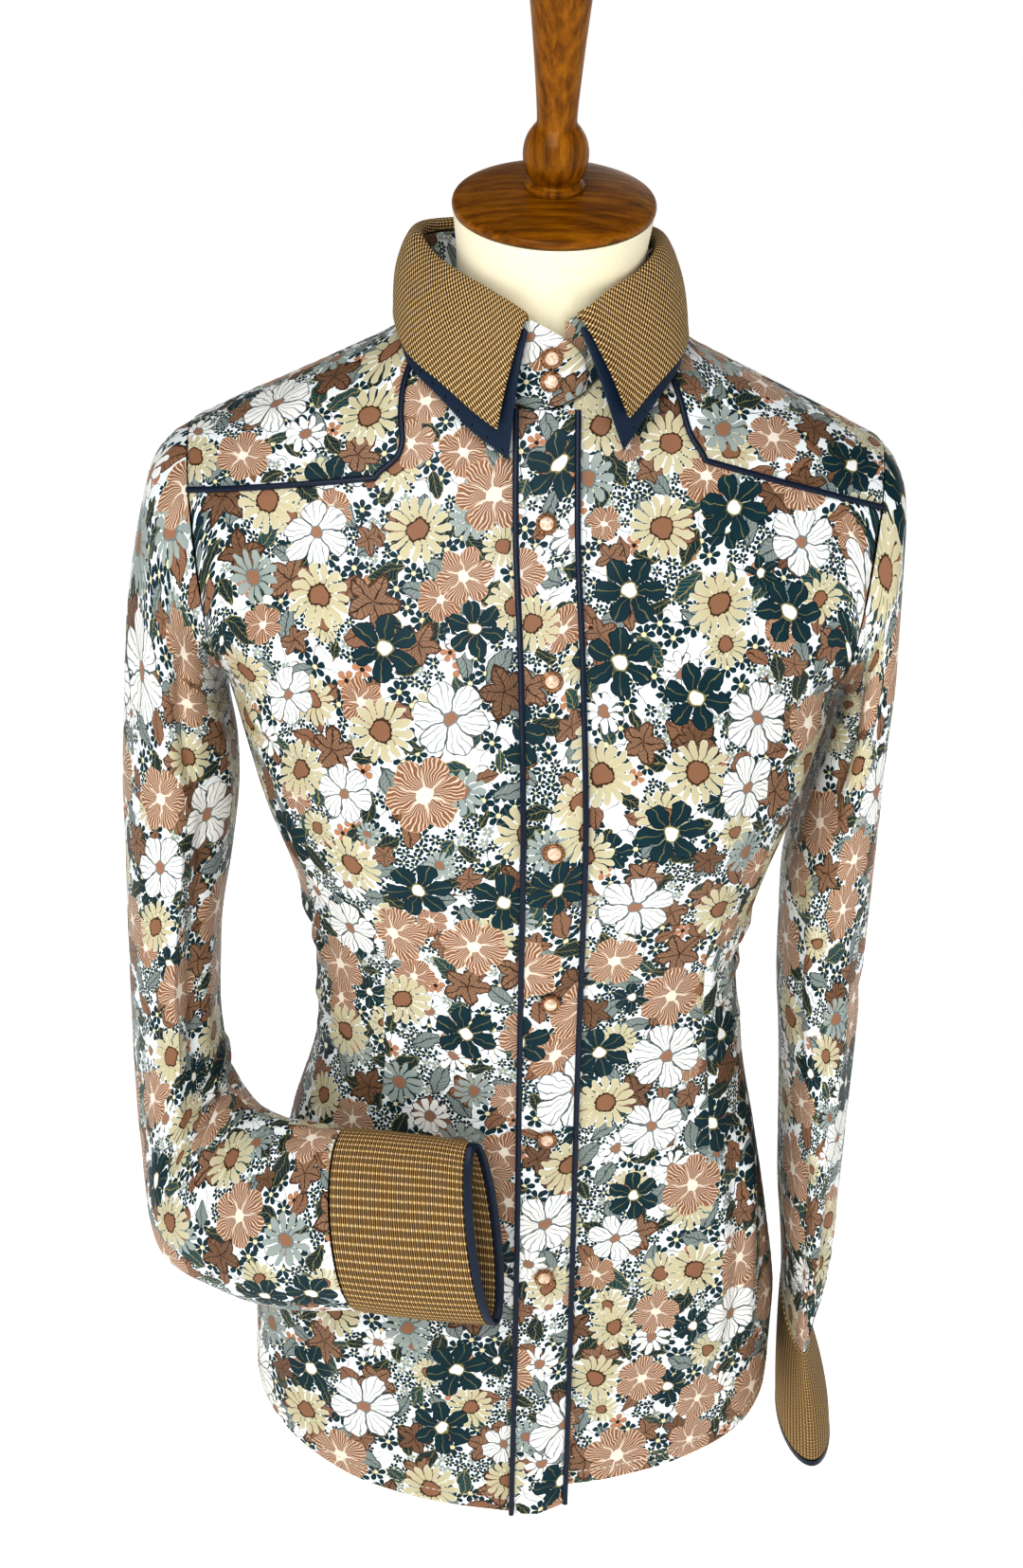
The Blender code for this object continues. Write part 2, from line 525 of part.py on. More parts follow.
# ---------------------------------------------------------------- borders shared by neighbours
def neck_place(angle, side, back):
    """Return a place on the neckline; the angle runs from straight ahead (front) or behind (back)."""
    x = NECK_X + side * NECK_HALF_WIDTH * math.sin(angle)
    depth = NECK_BACK if back else -NECK_FRONT
    z = height_at(x, NECK_Y + depth * math.cos(angle))
    return share_at(x, z, back), z


def ridge_top():
    """Return the height of the shoulder line's neck end."""
    return height_at(NECK_X + NECK_HALF_WIDTH, SHAPE["centre_y"](0.70))


def armhole_x(side, z):
    """Return where the armhole's plane stands at a height."""
    rise = (z - ARM_LOW_Z) / (ARM_HIGH_Z - ARM_LOW_Z)
    return ARMHOLE_CENTRE_X + side * (ARM_LOW_X + rise * (ARM_HIGH_X - ARM_LOW_X))


def armhole_places(side, back):
    """Return the armhole's places from under the arm up to the shoulder tip, a half ring's steps."""
    places = []
    for step in range(RING_STEPS // 2 + 1):
        z = ARM_LOW_Z + (ARM_HIGH_Z - ARM_LOW_Z) * (1 - math.cos(2 * math.pi * step / RING_STEPS)) / 2
        share = share_at(armhole_x(side, z), z, back)
        if step in (0, RING_STEPS // 2):
            share = side
        places.append((share, z))
    return places


def hem_height(share, side_name):
    """Return the hem's height at a share of the way to the side seam."""
    return float(smooth_column(HEM, side_name)(abs(share)))


def hem_border(start, end, steps, side_name):
    """Return the hem's places between two shares."""
    return [(share, hem_height(share, side_name)) for share in np.linspace(start, end, steps + 1)]


def side_border(side, low_z):
    """Return the side seam from the hem to the underarm."""
    return straight((side, low_z), (side, ARM_LOW_Z), HEM_TO_UNDERARM)


def ridge_border(side):
    """Return the shoulder line from the neck out to the tip."""
    return straight((side, ridge_top()), (side, ARM_HIGH_Z), YOKE_RISE_COLUMNS + YOKE_LEVEL_COLUMNS)


def yoke_border(side):
    """Return the yoke's seam from the neckline to the armhole."""
    name = "right" if side < 0 else "left"
    corner = (getattr(YOKE_CORNER, name + "_x"), getattr(YOKE_CORNER, name + "_z"))
    rise = (getattr(YOKE_RISE, name + "_x"), getattr(YOKE_RISE, name + "_z"))
    neck = neck_place(YOKE_NECK_ANGLE, side, back=False)
    corner_place = (share_at(*corner), corner[1])
    rise_place = (share_at(*rise), rise[1])
    armhole_end = armhole_places(side, back=False)[YOKE_RING_STEP]
    level = straight(corner_place, armhole_end, YOKE_LEVEL_COLUMNS)
    return joined([neck, rise_place, corner_place], level)


def opening_x(z):
    """Return where the two fronts meet under the placket."""
    return middle_x(z) - PLACKET_WIDTH / 2 + 0.002


def front_borders(side):
    """Return the four borders of a front: hem, side and armhole, yoke and neckline, opening."""
    name = "right" if side < 0 else "left"
    low = hem_height(0, name)
    low_share = share_at(opening_x(low), low)
    hem = hem_border(low_share, side, NECK_COLUMNS + YOKE_RISE_COLUMNS + YOKE_LEVEL_COLUMNS, name)
    arm = armhole_places(side, back=False)[:YOKE_RING_STEP + 1]
    outer = joined(side_border(side, hem[-1][1]), arm)
    start_angle = math.asin((opening_x(0.67) - NECK_X) / NECK_HALF_WIDTH) * side
    neck = [neck_place(angle, side, back=False)
            for angle in np.linspace(start_angle, YOKE_NECK_ANGLE, NECK_COLUMNS + 1)]
    top = joined(neck, yoke_border(side))
    levels = joined(np.linspace(hem[0][1], ARM_LOW_Z, HEM_TO_UNDERARM + 1),
                    np.linspace(ARM_LOW_Z, neck[0][1], YOKE_RING_STEP + 1))
    opening = [(share_at(opening_x(z), z), z) for z in levels]
    return hem, outer, top, opening


# ---------------------------------------------------------------- body pieces
def add_panel(name, borders, back=False):
    """Make a patch of the body, inside its four borders of places, as a wall of printed cloth."""
    flat = coons(*(unrolled(np.array(border, float), back) for border in borders))
    for _ in range(RELAXING_ROUNDS):
        flat[1:-1, 1:-1] = (flat[:-2, 1:-1] + flat[2:, 1:-1] + flat[1:-1, :-2] + flat[1:-1, 2:]) / 4
    places = rolled(flat, back)
    outer = pull_in(body_grid(places, 0, back))
    inner = pull_in(body_grid(places, -CLOTH, back))
    return add_wall(name, outer, inner, "printed_satin")


def add_fronts():
    """Make the two fronts."""
    for name, side in (("front_right", -1), ("front_left", 1)):
        add_panel(name, front_borders(side))


def add_yokes():
    """Make the two front yokes with the piping along their seams."""
    for name, side in (("right", -1), ("left", 1)):
        seam = yoke_border(side)
        armhole = armhole_places(side, back=False)[YOKE_RING_STEP:]
        neck = [neck_place(angle, side, back=False) for angle in np.linspace(YOKE_NECK_ANGLE, math.pi / 2, 4)]
        neck[-1] = (side, ridge_top())
        add_panel("yoke_" + name, (seam, armhole, ridge_border(side), neck))
        path = np.array(seam, float)
        path[0] += (path[1] - path[0]) * 0.25
        add_piping("yoke_piping_" + name, path, SEAM)


def add_back():
    """Make the back from side seam to side seam, up to the shoulder lines."""
    hem_columns = 2 * (YOKE_RISE_COLUMNS + YOKE_LEVEL_COLUMNS) + BACK_NECK_COLUMNS
    hem = hem_border(-1, 1, hem_columns, "right")
    right_edge = joined(side_border(-1, hem[0][1]), armhole_places(-1, back=True))
    left_edge = joined(side_border(1, hem[-1][1]), armhole_places(1, back=True))
    angles = np.linspace(math.pi / 2, 0, BACK_NECK_COLUMNS // 2 + 1)
    neck = [neck_place(angle, -1, back=True) for angle in angles]
    neck += [neck_place(angle, 1, back=True) for angle in angles[-2::-1]]
    neck[0], neck[-1] = (-1, ridge_top()), (1, ridge_top())
    top = joined(ridge_border(-1)[::-1], neck, ridge_border(1))
    add_panel("back", (hem, left_edge, top, right_edge), back=True)


def add_piping(name, places, lift, ends=0.0):
    """Lay a flat piping with a rounded top along places on the front."""
    places = np.asarray(places, float)
    path = body_grid(places, lift)
    normals = unit(body_grid(places, lift + 0.001) - path)
    along = np.gradient(path, axis=0)
    if ends:
        path[0] -= unit(along[0]) * ends
        path[-1] += unit(along[-1]) * ends
    across = unit(np.cross(normals, along))
    half = PIPING_WIDTH / 2
    profile = [(-half, 0), (half, 0), (half, 0.6), (half * 0.5, 1), (-half * 0.5, 1), (-half, 0.6)]
    rings = [path + across * x + normals * up * PIPING_HEIGHT for x, up in profile]
    return add_sweep(name, np.stack(rings, axis=1), "navy_satin")


def placket_levels(offset):
    """Return the places down one upright line of the placket, from its hem to its top."""
    low = 0.018 + max(0.0, offset) * 0.5
    levels = joined(np.linspace(low, ARM_LOW_Z, HEM_TO_UNDERARM + 1),
                    np.linspace(ARM_LOW_Z, 0.667, YOKE_RING_STEP + 1))
    return [(share_at(middle_x(z) + offset, z), z) for z in levels]


def add_placket():
    """Make the front band and the piping down both of its edges."""
    offsets = np.linspace(-PLACKET_WIDTH / 2, PLACKET_WIDTH / 2, 4)
    places = np.stack([placket_levels(offset) for offset in offsets], axis=1)
    outer = body_grid(places, PLACKET_LIFT + CLOTH)
    inner = body_grid(places, PLACKET_LIFT)
    add_wall("placket", outer, inner, "printed_satin")
    edge = PLACKET_WIDTH / 2 - PIPING_WIDTH / 2
    for name, offset in (("placket_piping_outer", -edge), ("placket_piping_inner", edge)):
        add_piping(name, placket_levels(offset), PLACKET_LIFT + CLOTH + SEAM)


# ---------------------------------------------------------------- sleeves
def ring_points(row, shrink, raised=0.0):
    """Return the points round one ring, from the body side by the front, drawn in by the shrink."""
    near = np.array([row.in_x, row.mid_y, row.in_z])
    far = np.array([row.out_x, row.mid_y, row.out_z])
    middle, reach = (near + far) / 2, (near - far) / 2
    reach -= unit(reach) * shrink
    turn = math.radians(row.turn)
    depth = np.array([-math.sin(turn), -math.cos(turn), 0]) * (row.half_depth - shrink)
    angles = np.arange(RING_STEPS) * 2 * math.pi / RING_STEPS
    spokes = np.cos(angles)[:, None] * reach + np.sin(angles)[:, None] * depth
    return middle + spokes + unit(spokes) * np.reshape(raised, (-1, 1))


def fold_heights(share, folds):
    """Return how far a sleeve's folds raise each point of the ring at a share of its length."""
    degrees = np.arange(RING_STEPS) * 360 / RING_STEPS
    height = np.zeros(RING_STEPS)
    for fold in folds:
        turn = (degrees - fold.degrees + 180) % 360 - 180
        height += fold.height * np.exp(-(turn / fold.half_degrees) ** 2
                                       - ((share - fold.share) / fold.half_share) ** 2)
    return height


def finer_rings(table, steps):
    """Read a table of rings smoothly at equal steps along it."""
    Numbered = namedtuple("Numbered", ("order",) + Ring._fields)
    numbered = [Numbered(i, *row) for i, row in enumerate(table)]
    columns = [smooth_column(numbered, name, key="order") for name in Ring._fields]
    return [Ring(*(float(column(order)) for column in columns))
            for order in np.linspace(0, len(table) - 1, steps + 1)]


def armhole_ring(side, shrink):
    """Return the armhole's points in a sleeve ring's order, drawn in towards their middle."""
    front = body_grid(armhole_places(side, back=False), 0)
    back = body_grid(armhole_places(side, back=True), 0, back=True)
    ring = np.concatenate([front, back[-2:0:-1]])
    outward = unit(np.array([side * (ARM_HIGH_Z - ARM_LOW_Z), 0, -(ARM_HIGH_X - ARM_LOW_X)]))
    inward = ring.mean(axis=0) - ring
    inward -= (inward @ outward)[:, None] * outward
    return ring + unit(inward) * shrink + outward * SEAM


def sleeve_grid(side, rings, shrink):
    """Return the rings of one face of a sleeve, the armhole's first."""
    folds = FOLDS_RIGHT if side < 0 else FOLDS_LEFT
    rows = [ring_points(row, shrink, fold_heights(order / (len(rings) - 1), folds))
            for order, row in enumerate(rings)]
    return np.stack([armhole_ring(side, shrink)] + rows)


def add_sleeves():
    """Make the sleeves, the cuffs and the bindings round the cuffs' mouths."""
    for name, side, sleeve, cuff, steps in (("right", -1, SLEEVE_RIGHT, CUFF_RIGHT, 21),
                                            ("left", 1, SLEEVE_LEFT, CUFF_LEFT, 17)):
        rings = finer_rings(sleeve, steps)
        add_wall("sleeve_" + name, sleeve_grid(side, rings, 0), sleeve_grid(side, rings, CLOTH),
                 "printed_satin", round_about=True)
        rings = finer_rings(cuff, 4)
        outer = np.stack([ring_points(row, 0) for row in rings])
        inner = np.stack([ring_points(row, CUFF_WALL) for row in rings])
        add_wall("cuff_" + name, outer, inner, "tan_check", round_about=True)
        add_binding("cuff_binding_" + name, outer[-1], inner[-1], outer[-1] - outer[-2])


def add_binding(name, outer, inner, along):
    """Make the navy edge that carries on from a cuff's last ring, rounded at its mouth."""
    onward = unit(along.mean(axis=0))
    crest = outer * 0.5 + inner * 0.5
    start, shoulder = onward * SEAM, onward * (BINDING_WIDTH * 0.8)
    outside = np.stack([outer + start, outer + shoulder, crest + onward * BINDING_WIDTH])
    inside = np.stack([inner + start, inner + shoulder,
                       crest * 0.8 + inner * 0.2 + onward * BINDING_WIDTH])
    return add_wall(name, outside, inside, "navy_satin", round_about=True)


# ---------------------------------------------------------------- collar
def fold_ring():
    """Return the fold as columns by the angle about the neck, from its back, left side positive."""
    angles, radii, heights = [], [], []
    for row in COLLAR:
        x, y = row.fold_x - NECK_X, row.fold_y - NECK_Y
        angles.append(math.atan2(x, y))
        radii.append(math.hypot(x, y))
        heights.append(row.fold_z)
    return np.array(angles), np.array(radii), np.array(heights)


def stand_angles():
    """Return the angles round the neck from the upper end at the front, by the back, to the under end."""
    end = [over_angle() + row.turn for row in STAND_END]
    return np.array(end[:-1] + list(np.linspace(end[-1], math.pi - 0.20, STAND_COLUMNS + 1)))


def over_angle():
    """Return the angle of the stand's upper end."""
    return -math.pi - math.asin((STAND_OVERLAP_X - NECK_X) / NECK_HALF_WIDTH)


def stand_column(angle):
    """Return the foot and head of the stand at an angle, and the way out of the neck."""
    behind = math.cos(angle) > 0
    x = NECK_X + NECK_HALF_WIDTH * math.sin(angle)
    y = NECK_Y + (NECK_BACK if behind else NECK_FRONT) * math.cos(angle)
    foot = np.array([x, y, height_at(x, y) + 0.0010])
    angles, radii, heights = fold_ring()
    frontness = float(np.clip((abs(angle) - 2.2) / 0.6, 0, 1))
    inset = STAND_INSET + (STAND_INSET_FRONT - STAND_INSET) * frontness
    drop = STAND_DROP + (STAND_DROP_FRONT - STAND_DROP) * frontness
    radius = min(np.interp(angle, angles, radii) - inset, STAND_FRONT_RADIUS)
    outward = np.array([math.sin(angle), math.cos(angle), 0])
    head = np.array([NECK_X, NECK_Y, np.interp(angle, angles, heights) - drop]) + outward * radius
    turns, heights = zip(*STAND_END)
    head = foot + (head - foot) * np.interp(angle - over_angle(), turns, heights)
    lapped = float(np.clip((-angle - math.pi + 0.55) / 0.45, 0, 1)) * STAND_LAP
    return foot + outward * lapped, head + outward * lapped, outward


def stand_grids(angles):
    """Return the stand's outer and inner faces, feet first."""
    columns = [stand_column(angle) for angle in angles]
    outer, inner = [], []
    for share in np.linspace(0, 1, 4):
        bow = STAND_BOW * math.sin(math.pi * share)
        row = [foot * (1 - share) + head * share + outward * bow for foot, head, outward in columns]
        outer.append(row)
        inner.append([point - column[2] * STAND_WALL for point, column in zip(row, columns)])
    return np.array(outer), np.array(inner)


def add_stand():
    """Make the collar stand, a band whose upper end laps over the under end at the front."""
    outer, inner = stand_grids(stand_angles())
    return add_wall("collar_stand", outer, inner, "printed_satin")


def collar_frames():
    """Return each station's fold and edge points and the way out of the neck, upright parts removed."""
    fold = np.array([(row.fold_x, row.fold_y, row.fold_z) for row in COLLAR])
    edge = np.array([(row.edge_x, row.edge_y, row.edge_z) for row in COLLAR])
    along = np.gradient(fold, axis=0)
    outward = unit(np.cross(along, np.array([0, 0, -1.0])))
    return fold, edge, outward


def collar_face(inset, starts, steps):
    """Return one face of the fall, from each station's start near the fold to the edge."""
    fold, edge, outward = collar_frames()
    rows = []
    for step in np.linspace(0, 1, steps + 1):
        share = (starts + (1 - starts) * step)[:, None]
        bow = COLLAR_BULGE * np.sin(math.pi * share)
        rows.append(fold * (1 - share) + edge * share + outward * (bow - inset))
    return np.array(rows)


def collar_roll(inset):
    """Return the rows of one face that go over the fold and down inside it."""
    fold, _, outward = collar_frames()
    width = (np.array([row.lip for row in COLLAR]) * COLLAR_ROLL)[:, None]
    inside, up = -outward * (width - inset), np.array([0, 0, 1.0])
    crest = up * (COLLAR_ROLL * 0.22 - inset)
    return np.array([fold + inside - up * width * 0.9, fold + inside - up * 0.0012,
                     fold - outward * width * 0.5 + crest])


def add_collar():
    """Make the tan collar, rolled over at the fold, and the navy undercollar below its fall."""
    starts = np.full(len(COLLAR), 0.04)
    outer, inner = (np.concatenate([collar_roll(inset), collar_face(inset, starts, 4)])
                    for inset in (0, COLLAR_WALL))
    add_wall("collar", outer, inner, "tan_check")

    lips = np.array([row.lip for row in COLLAR])
    starts = np.interp(lips, (0.6, 0.8), (UNDER_START_FRONT, UNDER_START))
    gap = COLLAR_WALL + UNDER_GAP
    outer, inner = (widen_under(collar_face(inset, starts, 3)) for inset in (gap, gap + CLOTH))
    add_wall("undercollar", outer, inner, "navy_satin")


def widen_under(grid):
    """Let the undercollar show beyond the collar along its edge and its two front ends."""
    reach = np.array([row.under for row in COLLAR])[:, None]
    down = unit(grid[-1] - grid[-2])
    rows = np.concatenate([grid, (grid[-1] + down * reach)[None]])
    for end, beside in ((0, 1), (-1, -2)):
        along = unit(rows[:, end] - rows[:, beside])
        spread = COLLAR[end].under * np.linspace(0.15, 0.62, len(rows))[:, None]
        rows[:, end] += along * spread
    return rows


# ---------------------------------------------------------------- snaps
def turned_points(profile, sides, centre, across, beside, axis):
    """Return rings of points turned about an axis."""
    rings = []
    for radius, height in profile:
        ring = []
        for step in range(sides):
            angle = 2 * math.pi * step / sides
            spread = across * math.cos(angle) + beside * math.sin(angle)
            ring.append(centre + spread * radius + axis * height)
        rings.append(ring)
    return np.array(rings)


def add_snap(number, centre, axis):
    """Make a snap: the scalloped crown ring and the pearl that it holds."""
    across = unit(np.cross(axis, np.array([0, 0, 1.0])))
    beside = np.cross(axis, across)
    outside = [(SNAP_RADIUS * 0.93, 0), (SNAP_RADIUS, SNAP_HEIGHT * 0.45), (SNAP_RADIUS * 0.88, SNAP_HEIGHT)]
    inside = [(PEARL_RADIUS + 0.0004, 0), (PEARL_RADIUS + 0.0005, SNAP_HEIGHT * 0.45),
              (PEARL_RADIUS + 0.0007, SNAP_HEIGHT)]
    outer = turned_points(outside, SNAP_SIDES, centre, across, beside, axis)
    inner = turned_points(inside, SNAP_SIDES, centre, across, beside, axis)
    outer[1:, 1::2] += (centre - outer[1:, 1::2]) * 0.07
    add_wall(f"snap_{number}", outer, inner, "copper_crown", round_about=True)
    dome = [(PEARL_RADIUS, 0.0002), (PEARL_RADIUS, SNAP_HEIGHT * 0.6),
            (PEARL_RADIUS * 0.72, PEARL_HEIGHT * 0.88), (PEARL_RADIUS * 0.25, PEARL_HEIGHT)]
    add_sweep(f"pearl_{number}", turned_points(dome, PEARL_SIDES, centre, across, beside, axis), "pearl")


def add_snaps():
    """Set two snaps on the stand's upper end and six down the placket."""
    turn = over_angle() + STAND_SNAP_TURN
    outer, _ = stand_grids((turn - 0.05, turn, turn + 0.05))
    column, along = outer[:, 1], outer[1, 2] - outer[1, 0]
    axis = unit(np.cross(along, column[-1] - column[0]))
    axis *= -np.sign(axis[1])
    for number, z in enumerate(STAND_SNAPS, start=1):
        spot = np.array([np.interp(z, column[:, 2], column[:, i]) for i in range(3)])
        add_snap(number, spot + axis * 0.0007, axis)
    for number, z in enumerate(SNAP_LEVELS, start=1 + len(STAND_SNAPS)):
        place = np.array([[share_at(middle_x(z), z), z]])
        surface = body_grid(place, PLACKET_LIFT + CLOTH)[0]
        axis = surface_normals(place, back=False)[0]
        add_snap(number, surface + axis * 0.0004, axis)


# ---------------------------------------------------------------- dress form
def add_form_body():
    """Make the torso and neck, closed by a flat underside and the leaning top of the neck."""
    rings = []
    for row in FORM:
        lean = math.radians(row.lean)
        ring = []
        for step in range(FORM_SIDES):
            angle = 2 * math.pi * step / FORM_SIDES
            sine, cosine = math.sin(angle), math.cos(angle)
            depth = row.back if cosine > 0 else row.front
            reach = (abs(sine / row.half_width) ** row.square + abs(cosine / depth) ** row.square)
            reach **= -1 / row.square
            y = reach * cosine
            ring.append((row.centre_x + reach * sine, row.centre_y + y * math.cos(lean),
                         row.z + y * math.sin(lean)))
        rings.append(ring)
    add_sweep("form_body", rings, "jersey")


def neck_frame():
    """Return the middle of the neck's top and the three directions of the leaning cap."""
    top = FORM[-1]
    axis = np.array([0, -math.sin(NECK_LEAN), math.cos(NECK_LEAN)])
    across = np.array([1.0, 0, 0])
    beside = np.cross(axis, across)
    return np.array([top.centre_x, top.centre_y, top.z]), across, beside, axis


def add_cap_and_finial():
    """Make the turned neck cap and, on it, the ball and tapered handle."""
    top, across, beside, axis = neck_frame()
    seat = top + axis * SEAM
    add_sweep("neck_cap", turned_points(CAP_PROFILE, CAP_SIDES, seat, across, beside, axis), "turned_wood")
    seat = seat + axis * (CAP_PROFILE[-1].height + SEAM)
    add_sweep("finial", turned_points(FINIAL_PROFILE, FINIAL_SIDES, seat, across, beside, axis), "turned_wood")


def main():
    """Clear the scene and make every piece."""
    for thing in list(bpy.data.objects):
        bpy.data.objects.remove(thing, do_unlink=True)
    add_fronts()
    add_yokes()
    add_back()
    add_placket()
    add_sleeves()
    add_stand()
    add_collar()
    add_snaps()
    add_form_body()
    add_cap_and_finial()


main()
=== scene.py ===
"""Dresses a western snap shirt and its dress form: printed satin cotton, piped yokes and placket,
check collar and cuffs, pearl snaps, stitching, jersey and turned wood.

Metres, +Z up, the wearer facing -Y, so the wearer's right is -X. The tables are in millimetres.
"""
import math
from collections import namedtuple
from functools import partial, wraps

import bmesh
import bpy
import numpy as np
from mathutils import Matrix, Vector


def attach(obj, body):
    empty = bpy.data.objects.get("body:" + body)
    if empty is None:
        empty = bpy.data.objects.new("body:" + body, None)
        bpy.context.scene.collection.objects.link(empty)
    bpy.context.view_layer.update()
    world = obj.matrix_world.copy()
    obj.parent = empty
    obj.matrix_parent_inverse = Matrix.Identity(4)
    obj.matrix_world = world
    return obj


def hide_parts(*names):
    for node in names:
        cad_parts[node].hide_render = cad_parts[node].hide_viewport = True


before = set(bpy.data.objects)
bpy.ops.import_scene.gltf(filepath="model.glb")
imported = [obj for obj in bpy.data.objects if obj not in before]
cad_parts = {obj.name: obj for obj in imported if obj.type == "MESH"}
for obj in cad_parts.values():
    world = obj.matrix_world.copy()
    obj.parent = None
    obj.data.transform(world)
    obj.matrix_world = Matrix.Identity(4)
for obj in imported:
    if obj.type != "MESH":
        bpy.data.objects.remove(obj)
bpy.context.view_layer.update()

bl_info = {
    "name": "Western snap shirt on a dress form",
    "version": (1, 0, 0),
    "blender": (4, 5, 0),
    "location": "View3D > Sidebar > Shirt",
    "description": "Makes the cloth, trims, snaps and dress form of a western shirt",
    "category": "Object",
}

MM = 0.001
SIDES = {-1: "right", 1: "left"}


def table(row_type, plain, rows):
    """Fill a table given in millimetres; the columns named in plain hold other numbers."""
    plain = plain.split()
    return [row_type(*(value * (1 if name in plain else MM) for name, value in zip(row_type._fields, row)))
            for row in rows]


# -------- driving sizes
CLOTH = 0.0012
STAND_WALL = 0.0012
COLLAR_WALL = 0.0014
CUFF_WALL = 0.0022
SEAM = 0.0003
PLACKET_WIDTH = 0.0345
PLACKET_LIFT = 0.0011
PLACKET_PRESSED = 0.0004  # how much thinner the band is pressed along its edges
PLACKET_LOW, PLACKET_HIGH = 0.018, 0.667
PIPING_WIDTH, PIPING_HEIGHT = 0.0030, 0.0015
# the piping's section, across and up, and the binding's, onward from the cuff's mouth and out from its crest
PIPING_PROFILE = ((-1.0, 0.0), (1.0, 0.0), (1.03, 0.35), (0.86, 0.74), (0.45, 0.95), (0.0, 1.0),
                  (-0.45, 0.95), (-0.86, 0.74), (-1.03, 0.35))
BINDING_WIDTH = 0.0045
BINDING_PROFILE = ((0.00, 1.10), (0.15, 1.16), (0.50, 1.18), (0.80, 1.05), (0.94, 0.70), (1.0, 0.0),
                   (0.94, -0.70), (0.80, -1.05), (0.50, -1.15), (0.15, -1.12), (0.00, -1.05))
STITCH_LENGTH, STITCH_GAP, STITCH_THICKNESS = 0.0026, 0.0011, 0.00042
# rings of a stitch: how far along it each lies and its share of the full thickness
STITCH_PROFILE = ((-0.5, 0.45), (-0.32, 0.95), (0.0, 1.1), (0.32, 0.95), (0.5, 0.45))
STITCH_SIDES = 5
HEM_TURNING = 0.009       # from the hem up to its row of stitches
SNAP_LEVELS = (0.613, 0.538, 0.453, 0.360, 0.269, 0.178)
SNAP_RADIUS = 0.0057
PEARL_RADIUS, PEARL_HEIGHT, PEARL_RIM = 0.0038, 0.0031, 0.0010
PRONGS = 18
SNAP_LIFT, STAND_SNAP_LIFT = 0.0004, 0.0007         # how far the snaps stand off their cloth
PIPING_LIFT = 0.0002      # how far the piping stands off the placket
STAND_FOOT_GAP = 0.0010   # and the stand off the neckline

RING_STEPS = 20           # coarse steps round an armhole, a sleeve and a cuff
HEM_TO_UNDERARM = 14      # coarse rows and columns of the body, as its solids have
NECK_COLUMNS = 4
YOKE_RISE_COLUMNS = 2
YOKE_LEVEL_COLUMNS = 5
YOKE_COLUMNS = YOKE_RISE_COLUMNS + YOKE_LEVEL_COLUMNS
YOKE_RING_STEP = 7
BACK_NECK_COLUMNS = 6
RELAXING_ROUNDS = 60
BLEND_REACH = 1.5         # coarse steps over which a panel is drawn out to its exact border
SUB = 24                  # points a border holds for each coarse step
FINE_ACROSS, FINE_UP = 6, 8                 # fine columns and rows for each coarse one
SLEEVE_AROUND, SLEEVE_ALONG = 5, 8
CUFF_AROUND, CUFF_ROWS, CUFF_ALONG = 6, 4, 8

PUCKER = 0.00028          # height of the ripples that stitching draws in beside a seam
PUCKER_WAVE = 0.0085
HEAD_WAVE, CUFF_WAVE = 0.0095, 0.0070       # lengths of the ripples at a sleeve's two seams
SEAM_SINK = 0.00045       # how far a panel dips at its seams
SEAM_PUFF = 0.00035       # and how far it puffs up beside them
DART_SINK, DART_PUFF = 0.0012, 0.0006
# dart seams on the chart, in millimetres: the low end, the high end and the cloth taken in
Dart = namedtuple("Dart", "low_u low_z high_u high_z intake")
DARTS = {
    "front_right": [Dart(-85, 262, -76, 452, 12)],
    "front_left": [Dart(111, 226, 103, 402, 10)],
    "back": [Dart(-66, 250, -62, 470, 12), Dart(60, 250, 56, 470, 12)],
}

# where each piece is cut from the printed cloth, in metres
PRINT_OFFSETS = {
    "front_right": (0.93, 0.62), "front_left": (0.40, 0.11), "back": (1.71, 1.37),
    "yoke_right": (2.2, 0.4), "yoke_left": (2.6, 0.9), "sleeve_right": (3.3, 1.9), "sleeve_left": (4.1, 2.6),
    "placket": (0.313, 0.057), "collar_stand": (0.71, 0.44),
}

# -------- the stage
CAMERA_PLACE, CAMERA_LENS = (-0.014, -1.17, 0.886), 51.12
CAMERA_PITCH, CAMERA_ROLL = math.radians(-20.5), math.radians(1.5)
KEY_PLACE, FILL_PLACE, BACK_PLACE = (-0.35, -1.40, 1.55), (1.7, -1.3, 1.1), (0.7, 1.7, 1.4)
LIT_MIDDLE = Vector((0, 0, 0.42))

# -------- the torso under the shirt
Section = namedtuple("Section", "z half_width front back centre_x centre_y square")
SHIRT = table(Section, "square", [
    (0, 151, 83, 106, -4, 0, 2.3),
    (60, 157, 81, 112, -5, 0, 2.3),
    (120, 157, 78, 116, -4, 0, 2.3),
    (180, 148.5, 76, 107, -3, 0, 2.3),
    (240, 136.5, 77, 90, -2.5, 0, 2.25),
    (300, 123, 82, 75, 0, 0, 2.2),
    (345, 120.5, 90, 71, -3, 0, 2.2),
    (400, 131, 101, 77, -3, 0, 2.2),
    (450, 148, 109, 88, -4, 0, 2.2),
    (500, 163.5, 103, 96, -4, 2, 2.2),
    (515, 168, 100, 97, -5, 4, 2.2),
    (550, 198, 93, 98, -6, 8, 2.25),
    (590, 211, 82, 94, -6.5, 12, 2.3),
    (620, 207, 74, 86, -6.5, 15, 2.3),
    (640, 193, 67, 78, -6.5, 17, 2.2),
    (655, 167, 62, 72, -6.5, 18, 2.1),
    (670, 135, 57, 66, -6, 19, 2.05),
    (685, 103, 52, 61, -6, 19, 2),
    (698, 77, 48, 57, -6, 20, 2),
    (712, 60, 44, 53, -6, 20, 2),
    (730, 52, 42, 50, -6, 20, 2),
])
MiddleLine = namedtuple("MiddleLine", "z x")
MIDDLE = table(MiddleLine, "", [
    (0, 13), (170, 12), (330, 10), (450, 8.8), (540, 5.2), (610, 0.5), (670, -1),
])
